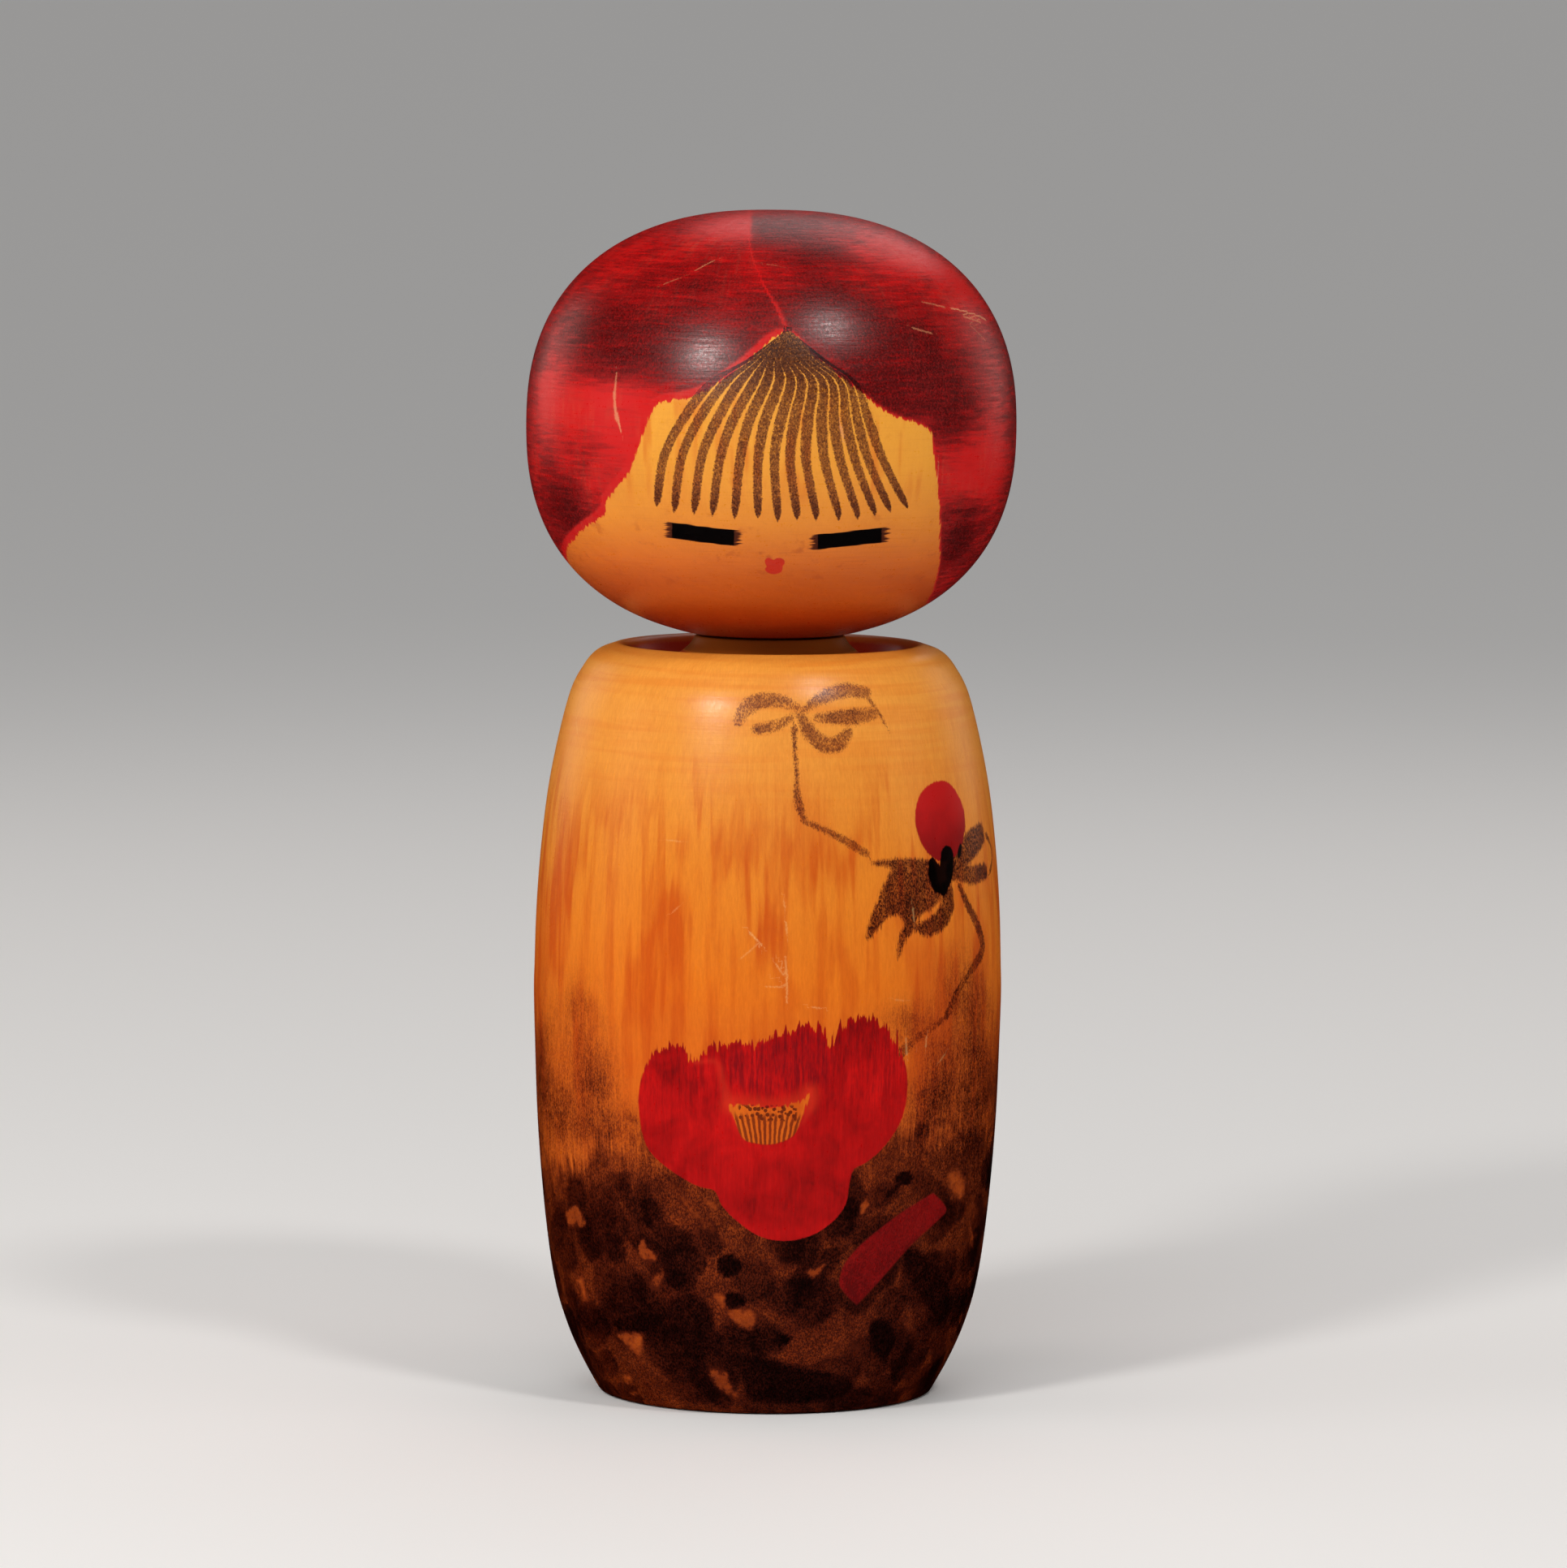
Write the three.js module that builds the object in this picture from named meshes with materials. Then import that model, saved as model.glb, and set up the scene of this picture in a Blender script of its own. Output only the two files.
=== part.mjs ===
// A kokeshi doll: a turned wooden body, a turned wooden head, and the dowel hidden between them.
// Millimetres, +Z up. The origin is the centre of the foot, and the face looks along -Y.
import * as THREE from 'three';

const HEIGHT = 303;

const FOOT_RADIUS = 43;
const FOOT_EDGE = 0.6;
const FOOT_RECESS_RADIUS = 34;
const FOOT_RECESS_DEPTH = 1.2;
const FOOT_RECESS_SLOPE = 2;
const BELLY_RADIUS = 60;
const BELLY_HEIGHT = 103;

const RIM_RADIUS = 38.9;
const RIM_HEIGHT = 192.3;
const DISH_DEPTH = 5.3;
const DISH_WALL_RADIUS = 35.4;
const DISH_FLOOR_RADIUS = 30.5;
const DISH_LIP_SHARE = 0.4;
const LIP_FULLNESS = 1;
const WALL_LEAN = 1.2;
const NECK_RADIUS = 19;
const NECK_HEIGHT = 194.4;
const WAIST_SPREAD = 2.3;
const WAIST_RISE = 2.2;

const HEAD_RADIUS = 62.6;
const HEAD_MIDDLE_HEIGHT = 248;
const HEAD_LOWER_HALF = 54.5;
const HEAD_SQUARENESS = 2.35;
const NECK_GAP = 0.5;

const DOWEL_RADIUS = 8;
const DOWEL_LENGTH = 59;
const DOWEL_CHAMFER = 1.2;
const SOCKET_CLEARANCE = 0.1;
const SOCKET_END_GAP = 0.5;

const TURNED_SIDES = 60;
const DOWEL_SIDES = 30;
const LOWER_FLANK_STEPS = 13;
const UPPER_FLANK_STEPS = 17;
const LIP_STEPS = 4;
const WALL_STEPS = 4;
const WAIST_STEPS = 6;
const HEAD_STEPS = 24;

const HEAD_UNDERSIDE = NECK_HEIGHT + NECK_GAP;
const DOWEL_MIDDLE = (NECK_HEIGHT + HEAD_UNDERSIDE) / 2;
const DOWEL_BOTTOM = DOWEL_MIDDLE - DOWEL_LENGTH / 2;
const DOWEL_TOP = DOWEL_MIDDLE + DOWEL_LENGTH / 2;
const SOCKET_RADIUS = DOWEL_RADIUS + SOCKET_CLEARANCE;
const SOCKET_MOUTH_CHAMFER = 1;

const at = (radius, height) => new THREE.Vector2(radius, height);

// Turns an outline of [radius, height] points, bottom to top on the outside, about the Z axis.
function turned(outline, sides) {
  const geometry = new THREE.LatheGeometry(outline, sides);
  geometry.rotateX(Math.PI / 2);
  return geometry;
}

function piece(name, geometry, color, roughness) {
  const material = new THREE.MeshStandardMaterial({ color, roughness, metalness: 0 });
  const mesh = new THREE.Mesh(geometry, material);
  mesh.name = name;
  return mesh;
}

// The flank below the belly: a nearly straight flare that rounds in over the last stretch to the foot.
function lowerFlank() {
  return new THREE.SplineCurve([
    at(FOOT_RADIUS, FOOT_EDGE),
    at(46.6, 7),
    at(50.7, 16),
    at(54.3, 28),
    at(57, 47),
    at(59, 72),
    at(BELLY_RADIUS, BELLY_HEIGHT),
  ]);
}

// The flank above the belly: the shoulder, ending in the crest of the rounded rim.
function upperFlank() {
  return new THREE.SplineCurve([
    at(BELLY_RADIUS, BELLY_HEIGHT),
    at(59.4, 125),
    at(57.8, 145),
    at(55.5, 161),
    at(51.4, 178.5),
    at(47.9, 186),
    at(44.2, 190.3),
    at(RIM_RADIUS, RIM_HEIGHT),
  ]);
}

function bodyOutline() {
  const dishFloor = RIM_HEIGHT - DISH_DEPTH;
  const lipHeight = RIM_HEIGHT - DISH_DEPTH * DISH_LIP_SHARE;
  const lip = new THREE.QuadraticBezierCurve(
    at(RIM_RADIUS, RIM_HEIGHT),
    at(DISH_WALL_RADIUS + LIP_FULLNESS, RIM_HEIGHT),
    at(DISH_WALL_RADIUS, lipHeight),
  );
  const wall = new THREE.QuadraticBezierCurve(
    at(DISH_WALL_RADIUS, lipHeight),
    at(DISH_WALL_RADIUS - WALL_LEAN, dishFloor),
    at(DISH_FLOOR_RADIUS, dishFloor),
  );
  const waist = new THREE.QuadraticBezierCurve(
    at(DISH_FLOOR_RADIUS, dishFloor),
    at(NECK_RADIUS + WAIST_SPREAD, dishFloor + WAIST_RISE),
    at(NECK_RADIUS, NECK_HEIGHT),
  );
  return [
    at(0, FOOT_RECESS_DEPTH),
    at(FOOT_RECESS_RADIUS - FOOT_RECESS_SLOPE, FOOT_RECESS_DEPTH),
    at(FOOT_RECESS_RADIUS, 0),
    at(FOOT_RADIUS - FOOT_EDGE, 0),
    ...lowerFlank().getPoints(LOWER_FLANK_STEPS),
    ...upperFlank().getPoints(UPPER_FLANK_STEPS).slice(1),
    ...lip.getPoints(LIP_STEPS).slice(1),
    ...wall.getPoints(WALL_STEPS).slice(1),
    ...waist.getPoints(WAIST_STEPS).slice(1),
    at(SOCKET_RADIUS + SOCKET_MOUTH_CHAMFER, NECK_HEIGHT),
    at(SOCKET_RADIUS, NECK_HEIGHT - SOCKET_MOUTH_CHAMFER),
    at(SOCKET_RADIUS, DOWEL_BOTTOM - SOCKET_END_GAP),
    at(0, DOWEL_BOTTOM - SOCKET_END_GAP),
  ];
}

// The head is a ball a little squarer than an ellipse, cut flat where it sits over the neck.
function headOutline() {
  const upperHalf = HEIGHT - HEAD_MIDDLE_HEIGHT;
  const flatCut = (HEAD_MIDDLE_HEIGHT - HEAD_UNDERSIDE) / HEAD_LOWER_HALF;
  const power = 2 / HEAD_SQUARENESS;
  const lowestTurn = -Math.asin(Math.pow(flatCut, 1 / power));
  const outline = [];
  for (let step = 0; step <= HEAD_STEPS; step += 1) {
    const turn = lowestTurn + (Math.PI / 2 - lowestTurn) * (step / HEAD_STEPS);
    const radius = HEAD_RADIUS * Math.pow(Math.max(Math.cos(turn), 0), power);
    const half = turn < 0 ? HEAD_LOWER_HALF : upperHalf;
    const height = HEAD_MIDDLE_HEIGHT + Math.sign(turn) * half * Math.pow(Math.abs(Math.sin(turn)), power);
    outline.push(at(step === HEAD_STEPS ? 0 : radius, height));
  }
  return [
    at(0, DOWEL_TOP + SOCKET_END_GAP),
    at(SOCKET_RADIUS, DOWEL_TOP + SOCKET_END_GAP),
    at(SOCKET_RADIUS, HEAD_UNDERSIDE + SOCKET_MOUTH_CHAMFER),
    at(SOCKET_RADIUS + SOCKET_MOUTH_CHAMFER, HEAD_UNDERSIDE),
    ...outline,
  ];
}

function dowelOutline() {
  return [
    at(0, DOWEL_BOTTOM),
    at(DOWEL_RADIUS - DOWEL_CHAMFER, DOWEL_BOTTOM),
    at(DOWEL_RADIUS, DOWEL_BOTTOM + DOWEL_CHAMFER),
    at(DOWEL_RADIUS, DOWEL_TOP - DOWEL_CHAMFER),
    at(DOWEL_RADIUS - DOWEL_CHAMFER, DOWEL_TOP),
    at(0, DOWEL_TOP),
  ];
}

const doll = new THREE.Group();
doll.add(piece('body', turned(bodyOutline(), TURNED_SIDES), 0xc98338, 0.38));
doll.add(piece('head', turned(headOutline(), TURNED_SIDES), 0x5a1a14, 0.36));
doll.add(piece('neck_dowel', turned(dowelOutline(), DOWEL_SIDES), 0xd9b27a, 0.7));

export default doll;
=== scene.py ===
"""The looks of a turned wooden kokeshi doll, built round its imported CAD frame.

Shapes are worked out in millimetres and written to Blender in metres. The doll stands on z = 0 and
faces -Y. Painted shapes are given as the front view shows them, in mm: [x to the viewer's right,
z above the foot].
"""

import math

import bpy
import numpy as np
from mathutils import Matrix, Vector


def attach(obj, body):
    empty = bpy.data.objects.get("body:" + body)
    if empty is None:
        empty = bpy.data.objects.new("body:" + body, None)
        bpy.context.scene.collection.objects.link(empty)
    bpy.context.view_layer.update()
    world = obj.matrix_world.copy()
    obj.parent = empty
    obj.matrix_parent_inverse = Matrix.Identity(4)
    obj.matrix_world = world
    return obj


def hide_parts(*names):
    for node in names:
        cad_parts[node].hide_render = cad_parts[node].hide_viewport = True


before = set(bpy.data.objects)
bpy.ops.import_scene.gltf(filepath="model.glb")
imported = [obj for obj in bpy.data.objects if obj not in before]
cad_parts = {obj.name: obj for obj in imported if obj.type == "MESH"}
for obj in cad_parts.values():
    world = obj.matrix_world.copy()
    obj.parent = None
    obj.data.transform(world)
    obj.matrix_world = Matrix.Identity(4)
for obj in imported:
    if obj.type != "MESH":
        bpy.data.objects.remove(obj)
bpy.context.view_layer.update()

MM = 0.001
HAIRSBREADTH = 1e-7
ON_AXIS = 1e-3
# How far from a painted shape, and from a thin line, its distance is worked out.
FIELD_REACH = 9.0
LINE_REACH = 3.0
# Steps from one given point to the next when a line is smoothed.
OUTLINE_STEPS = 8
CURVE_STEPS = 6
FRINGE_STEPS = 24
# A corner is a turn sharper than this, in degrees; its rounding has points at these shares.
CORNER_TURN = 28
CORNER_SHARES = (0.33, 0.67)
# The part of the outline that can be painted is wider than this share of the widest place.
SKIN_SHARE = 0.3


def add_object(name, data):
    thing = bpy.data.objects.new(name, data)
    bpy.context.scene.collection.objects.link(thing)
    return thing


# ---------------------------------------------------------------- turned surfaces


def cad_outline(node):
    """A CAD node's turned outline, [radius, height] in mm, walked from the foot of the axis up."""
    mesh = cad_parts[node].data
    places = {
        v.index: (round(-v.co.y / MM, 3), round(v.co.z / MM, 3))
        for v in mesh.vertices
        if abs(v.co.x) < HAIRSBREADTH and v.co.y < HAIRSBREADTH
    }
    neighbours = {}
    for edge in mesh.edges:
        a, b = (places.get(i) for i in edge.vertices)
        if a and b and a != b:
            neighbours.setdefault(a, set()).add(b)
            neighbours.setdefault(b, set()).add(a)
    walk = [min((p for p, near in neighbours.items() if len(near) == 1), key=lambda p: p[1])]
    while True:
        onward = [p for p in neighbours[walk[-1]] if p not in walk[-2:]]
        if not onward:
            return np.array(walk)
        walk.append(onward[0])


def spline(points, steps, closed=False):
    """A smooth line through the points, with that many steps from each to the next."""
    points = np.asarray(points, float)
    if closed:
        points = np.vstack([points[-1], points, points[:2]])
    else:
        points = np.vstack([2 * points[0] - points[1], points, 2 * points[-1] - points[-2]])
    t = np.linspace(0, 1, steps, endpoint=False)[:, None]
    line = []
    for p0, p1, p2, p3 in zip(points, points[1:], points[2:], points[3:]):
        line.append(
            p1 + 0.5 * t * (
                p2 - p0 + t * (2 * p0 - 5 * p1 + 4 * p2 - p3 + t * (3 * (p1 - p2) + p3 - p0))
            )
        )
    if not closed:
        line.append(points[-2:-1])
    return np.vstack(line)


def along(line):
    """The length along a line at each of its points."""
    return np.concatenate([[0], np.cumsum(np.linalg.norm(np.diff(line, axis=0), axis=1))])


def even_line(line, places):
    """The points of a line at the given lengths along it."""
    length = along(line)
    return np.stack([np.interp(places, length, line[:, i]) for i in range(line.shape[1])], 1)


def half_widths(line, widths):
    """Half the width at each point of a line, from widths spread evenly along it."""
    share = along(line) / along(line)[-1]
    return np.interp(share, np.linspace(0, 1, len(widths)), widths) / 2


def turned_rows(outline, spacing, edge):
    """Rows of [radius, height] up a turned outline: close on its curves, with every corner eased."""
    steps = np.diff(outline, axis=0)
    heading = np.unwrap(np.arctan2(steps[:, 1], steps[:, 0]))
    corners = [i + 1 for i, turn in enumerate(np.abs(np.diff(heading))) if turn > math.radians(CORNER_TURN)]
    stops = [0, *corners, len(outline) - 1]
    sections = []
    for start, end in zip(stops, stops[1:]):
        curved = end - start > 1
        line = spline(outline[start:end + 1], OUTLINE_STEPS) if curved else outline[start:end + 1]
        length = along(line)[-1]
        ease = min(edge, length / 3)
        low = 0 if start == 0 else ease
        high = length if end == stops[-1] else length - ease
        count = max(2, round((high - low) / spacing)) if curved else 1
        places = np.linspace(low, high, count + 1)
        places = np.unique(np.concatenate([places, [low + ease, high - ease]]).clip(low, high))
        sections.append(even_line(line, places))
    rows = [sections[0]]
    for corner, section in zip(corners, sections[1:]):
        before, after = rows[-1][-1], section[0]
        for t in CORNER_SHARES:
            rows.append(
                ((1 - t) ** 2 * before + 2 * t * (1 - t) * outline[corner] + t * t * after)[None]
            )
        rows.append(section)
    rows = np.vstack(rows)
    rows[np.abs(rows[:, 0]) < ON_AXIS, 0] = 0
    return rows


def columns(front_half, radius, front_step, back_step):
    """Angles right round from the front, in radians, closer together across the painted front."""
    front = math.radians(front_half)
    near = np.linspace(-front, front, round(2 * front * radius / front_step) + 1)
    far = np.linspace(front, 2 * math.pi - front, round(2 * (math.pi - front) * radius / back_step) + 1)
    return np.concatenate([near, far[1:-1]])


class Turned:
    """A turned mesh, with each vertex's angle round from the front, radius, height and row length."""

    def __init__(self, name, rows, angles):
        self.rows = rows
        self.row_length = along(rows)
        starts, radius, height, angle, length = [], [], [], [], []
        total = 0
        for (r, z), s in zip(rows, self.row_length):
            count = 1 if r == 0 else len(angles)
            starts.append(total)
            total += count
            radius.append(np.full(count, r))
            height.append(np.full(count, z))
            length.append(np.full(count, s))
            angle.append(np.zeros(1) if r == 0 else angles)
        self.radius, self.height = np.concatenate(radius), np.concatenate(height)
        self.angle, self.length = np.concatenate(angle), np.concatenate(length)
        self.angle = (self.angle + math.pi) % (2 * math.pi) - math.pi
        self.widest = rows[:, 0].max()
        self.flat = np.stack([self.angle * self.widest, self.length], 1)
        self.xyz = np.stack(
            [self.radius * np.sin(self.angle), -self.radius * np.cos(self.angle), self.height], 1
        )
        upright = np.diff(rows[:, 1], prepend=rows[0, 1]) > 0
        wide, top = rows[:, 0] > self.widest * SKIN_SHARE, rows[:, 1] == rows[:, 1].max()
        outer = np.where(upright & wide | top)[0]
        order = outer[np.argsort(rows[outer, 1])]
        self.skin = rows[order], self.row_length[order]
        self.mesh = self.build(name, starts, len(angles))
        self.object = add_object(name, self.mesh)

    def build(self, name, starts, count):
        here = np.arange(count)
        onward = (here + 1) % count
        faces = []
        for row, (low, high) in enumerate(zip(starts, starts[1:])):
            lower_point, upper_point = self.rows[row, 0] == 0, self.rows[row + 1, 0] == 0
            if lower_point:
                quads = [np.full(count, low), high + onward, high + here]
            elif upper_point:
                quads = [low + here, low + onward, np.full(count, high)]
            else:
                quads = [low + here, low + onward, high + onward, high + here]
            faces.extend(np.stack(quads, 1).tolist())
        mesh = bpy.data.meshes.new(name)
        mesh.from_pydata((self.xyz * MM).tolist(), [], faces)
        mesh.shade_smooth()
        return mesh

    def field(self, name, values):
        """Keeps a number for each vertex, for the material to read."""
        attribute = self.mesh.attributes.new(name, "FLOAT", "POINT")
        attribute.data.foreach_set("value", np.asarray(values, np.float32))

    def ring_field(self, name):
        """Keeps, for each vertex, its direction from the axis and its length along the outline in mm."""
        attribute = self.mesh.attributes.new(name, "FLOAT_VECTOR", "POINT")
        ring = np.stack([np.sin(self.angle), -np.cos(self.angle), self.length], 1)
        attribute.data.foreach_set("vector", ring.astype(np.float32).ravel())

    def on_skin(self, seen):
        """Front-view [x, z] as points on the surface: [x, y, z] in mm."""
        seen = np.asarray(seen, float)
        rows, _ = self.skin
        radius = np.interp(seen[:, 1], rows[:, 1], rows[:, 0])
        x = np.clip(seen[:, 0], -radius, radius)
        return np.stack([x, -np.sqrt(radius ** 2 - x ** 2), seen[:, 1]], 1)

    def unrolled(self, seen):
        """Front-view [x, z] unrolled: [length round from the front, length up the outline]."""
        points = self.on_skin(seen)
        rows, length = self.skin
        around = np.arctan2(points[:, 0], -points[:, 1]) * self.widest
        return np.stack([around, np.interp(points[:, 2], rows[:, 1], length)], 1)

    def area(self, outline):
        """How far each vertex is inside an unrolled outline, in mm; outside it is negative."""
        reach = FIELD_REACH
        low, high = outline.min(0) - reach, outline.max(0) + reach
        near = np.all((self.flat > low) & (self.flat < high), axis=1)
        where = self.flat[near]
        nearest = np.full(len(where), reach)
        inside = np.zeros(len(where), bool)
        for a, b in zip(outline, np.roll(outline, -1, axis=0)):
            nearest = np.minimum(nearest, to_segment(where, a, b)[0])
            if a[1] != b[1]:
                crosses = (where[:, 1] > a[1]) != (where[:, 1] > b[1])
                left = where[:, 0] < a[0] + (where[:, 1] - a[1]) * (b[0] - a[0]) / (b[1] - a[1])
                inside ^= crosses & left
        result = np.full(len(self.flat), -reach)
        result[near] = np.where(inside, nearest, -nearest)
        return result

    def painted(self, seen):
        """How far each vertex is inside a smooth painted shape, given by its front-view outline."""
        return self.area(spline(self.unrolled(seen), CURVE_STEPS, closed=True))

    def near(self, line, margin):
        """Which vertices lie in the line's box, widened by the margin."""
        low, high = line.min(0) - margin, line.max(0) + margin
        return np.all((self.xyz > low) & (self.xyz < high), axis=1)

    def stroke(self, seen, widths):
        """How far each vertex is inside a brush stroke along a front-view path."""
        line = spline(self.on_skin(seen), CURVE_STEPS)
        half = half_widths(line, widths)
        near = self.near(line, FIELD_REACH)
        where = self.xyz[near]
        best = np.full(len(where), -FIELD_REACH)
        for i in range(len(line) - 1):
            distance, t = to_segment(where, line[i], line[i + 1])
            best = np.maximum(best, half[i] + t * (half[i + 1] - half[i]) - distance)
        result = np.full(len(self.xyz), -FIELD_REACH)
        result[near] = best
        return result

    def lines(self, name, lines):
        """Keeps three fields for a set of thin lines, each [points on the surface, widths, strength].

        They are the signed distance across the nearest line, its half width, which tapers past its
        ends, and its strength. A line much thinner than the mesh stays sharp, because all three are
        even across it.
        """
        best = np.full(len(self.xyz), -FIELD_REACH)
        across = np.full(len(self.xyz), FIELD_REACH)
        half_width = np.full(len(self.xyz), -FIELD_REACH)
        strong = np.zeros(len(self.xyz))
        facing = self.xyz - [0, 0, (self.height.max() + self.height.min()) / 2]
        for line, widths, strength in lines:
            half = half_widths(line, widths)
            near = np.where(self.near(line, LINE_REACH + max(widths)))[0]
            where = self.xyz[near]
            for i in range(len(line) - 1):
                step = line[i + 1] - line[i]
                length = np.linalg.norm(step)
                distance, t = to_segment(where, line[i], line[i + 1])
                past = (where - line[i]) @ step / length - t * length
                past[(past < 0) & (i > 0) | (past > 0) & (i < len(line) - 2)] = 0
                side = np.sign(np.einsum("ij,ij->i", np.cross(step, facing[near]), where - line[i]))
                width = half[i] + t * (half[i + 1] - half[i]) - np.abs(past)
                depth = width - distance
                closer = depth > best[near]
                best[near[closer]] = depth[closer]
                sideways = np.sqrt(np.maximum(distance ** 2 - past ** 2, 0))
                width[distance > LINE_REACH] = -FIELD_REACH
                across[near[closer]] = (side * sideways)[closer]
                half_width[near[closer]] = width[closer]
                strong[near[closer]] = strength
        self.field(name + "_side", across)
        self.field(name + "_half", half_width)
        self.field(name + "_strength", strong)

    def front_lines(self, name, lines):
        """The same for front-view paths."""
        on_skin = [(spline(self.on_skin(seen), CURVE_STEPS), *rest) for seen, *rest in lines]
        self.lines(name, on_skin)

    def cloud(self, spots):
        """The sum of soft spots: [degrees round, height, half width in degrees, half height, strength]."""
        total = np.zeros(len(self.xyz))
        for turn, height, half_turn, half_height, strength in spots:
            off = (np.degrees(self.angle) - turn + 180) % 360 - 180
            rise = (self.height - height) / half_height
            total += strength * np.exp(-(off / half_turn) ** 2 - rise ** 2)
        return total

    def spots(self, marks):
        """The sum of soft spots on the front, each [x, z, reach across, reach up, strength]."""
        total = np.zeros(len(self.xyz))
        middles = self.on_skin([mark[:2] for mark in marks])
        for (*_, across, up, strength), middle in zip(marks, middles):
            offset = self.xyz - middle
            level = np.hypot(offset[:, 0], offset[:, 1]) / across
            total += strength * np.exp(-level ** 2 - (offset[:, 2] / up) ** 2)
        return total

    def lobes(self, shapes):
        """The strongest of soft-edged shapes, each [front-view outline, softness, strength]."""
        total = np.zeros(len(self.xyz))
        for seen, softness, strength in shapes:
            np.maximum(total, strength * ramp(self.painted(seen), -softness, softness), out=total)
        return total


def to_segment(where, a, b):
    """The distance from each place to the line from a to b, and the nearest point's share along it."""
    step = b - a
    t = np.clip((where - a) @ step / max(step @ step, 1e-12), 0, 1)
    return np.linalg.norm(where - a - t[:, None] * step, axis=1), t


def ramp(values, low, high):
    """0 below low, 1 above high, and smooth between."""
    t = np.clip((values - low) / (high - low), 0, 1)
    return t * t * (3 - 2 * t)


# ---------------------------------------------------------------- material nodes


class Nodes:
    """Writes a material as sums: each method adds a node and returns its output."""

    def __init__(self, name):
        self.material = bpy.data.materials.new(name)
        self.material.use_nodes = True
        self.tree = self.material.node_tree
        self.shader = self.tree.nodes["Principled BSDF"]

    def add(self, kind, **settings):
        node = self.tree.nodes.new(kind)
        for key, value in settings.items():
            setattr(node, key, value)
        return node

    def put(self, value, socket):
        if isinstance(value, bpy.types.NodeSocket):
            self.tree.links.new(value, socket)
        else:
            socket.default_value = value

    def field(self, name):
        return self.add("ShaderNodeAttribute", attribute_name=name).outputs["Fac"]

    def vector_field(self, name):
        return self.add("ShaderNodeAttribute", attribute_name=name).outputs["Vector"]

    def place(self):
        """The place on the piece, in mm."""
        return self.stretched(self.add("ShaderNodeTexCoord").outputs["Object"], 1 / MM, 1 / MM, 1 / MM)

    def math(self, operation, *values):
        node = self.add("ShaderNodeMath", operation=operation)
        for value, socket in zip(values, node.inputs):
            self.put(value, socket)
        return node.outputs[0]

    def chain(self, operation, values):
        total = values[0]
        for value in values[1:]:
            total = self.math(operation, total, value)
        return total

    def plus(self, *values):
        return self.chain("ADD", values)

    def times(self, *values):
        return self.chain("MULTIPLY", values)

    def most(self, *values):
        return self.chain("MAXIMUM", values)

    def less(self, a, b):
        return self.math("SUBTRACT", a, b)

    def swing(self, value, amount):
        """A 0 to 1 pattern as a change of up to half that amount either way."""
        return self.times(self.less(value, 0.5), amount)

    def stretched(self, vector, x, y, z):
        node = self.add("ShaderNodeVectorMath", operation="MULTIPLY")
        self.put(vector, node.inputs[0])
        node.inputs[1].default_value = (x, y, z)
        return node.outputs[0]

    def noise(self, vector, stretch, scale, detail=2.0, rough=0.5, distortion=0.0):
        """A 0 to 1 pattern, finer along the axes that are stretched more."""
        vector = self.stretched(vector, *stretch)
        node = self.add("ShaderNodeTexNoise")
        self.put(vector, node.inputs["Vector"])
        node.inputs["Scale"].default_value = scale
        node.inputs["Detail"].default_value = detail
        node.inputs["Roughness"].default_value = rough
        node.inputs["Distortion"].default_value = distortion
        return node.outputs["Fac"]

    def step(self, value, low, high, start=0.0, end=1.0):
        node = self.add("ShaderNodeMapRange", interpolation_type="SMOOTHSTEP")
        for number, socket in zip((value, low, high, start, end), node.inputs):
            self.put(number, socket)
        return node.outputs[0]

    def edge(self, name, rough=0.0, soft=0.25):
        """1 inside a painted field and 0 outside, its edge roughened by so many mm."""
        return self.step(self.plus(self.field(name), rough), -soft, soft)

    def line(self, name, rough=0.0, soft=0.25):
        """1 inside the thin lines of that name and 0 outside, times their strength."""
        off = self.math("ABSOLUTE", self.field(name + "_side"))
        depth = self.plus(self.less(self.field(name + "_half"), off), rough)
        return self.times(self.step(depth, -soft, soft), self.field(name + "_strength"))

    def blend(self, factor, a, b, how="MIX"):
        node = self.add("ShaderNodeMix", data_type="RGBA", blend_type=how)
        self.put(factor, node.inputs[0])
        self.put(a, node.inputs[6])
        self.put(b, node.inputs[7])
        return node.outputs[2]

    def under(self, colour, film):
        return self.blend(1.0, colour, film, "MULTIPLY")

    def colours(self, value, *stops):
        node = self.add("ShaderNodeValToRGB")
        elements = node.color_ramp.elements
        while len(elements) < len(stops):
            elements.new(0.5)
        for element, (place, colour) in zip(elements, stops):
            element.position = place
            element.color = colour
        self.put(value, node.inputs[0])
        return node.outputs[0]

    def bump(self, height, depth, under=None):
        """Relief of that many mm for a height of 1."""
        node = self.add("ShaderNodeBump")
        node.inputs["Strength"].default_value = 1.0
        node.inputs["Distance"].default_value = depth * MM
        self.put(height, node.inputs["Height"])
        if under is not None:
            self.put(under, node.inputs["Normal"])
        return node.outputs[0]


def rgb(red, green, blue):
    """A display colour, 0 to 255, as the linear colour that the shader takes."""
    shares = [c / 255 for c in (red, green, blue)]
    return (*(c / 12.92 if c <= 0.04045 else ((c + 0.055) / 1.055) ** 2.4 for c in shares), 1.0)


WHITE = (1.0, 1.0, 1.0, 1.0)


INK_TONES = (
    (0.0, WHITE),
    (0.2, (0.47, 0.37, 0.50, 1)),
    (0.45, (0.16, 0.092, 0.17, 1)),
    (0.75, (0.036, 0.014, 0.03, 1)),
    (1.0, (0.006, 0.003, 0.004, 1)),
)
WOOD_TINTS = ((0.25, (1.10, 1.16, 1.22, 1)), (0.5, WHITE), (0.8, (0.86, 0.72, 0.55, 1)))
RINGS_PER_MM = 2.4
RING_WARP = 24
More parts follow.
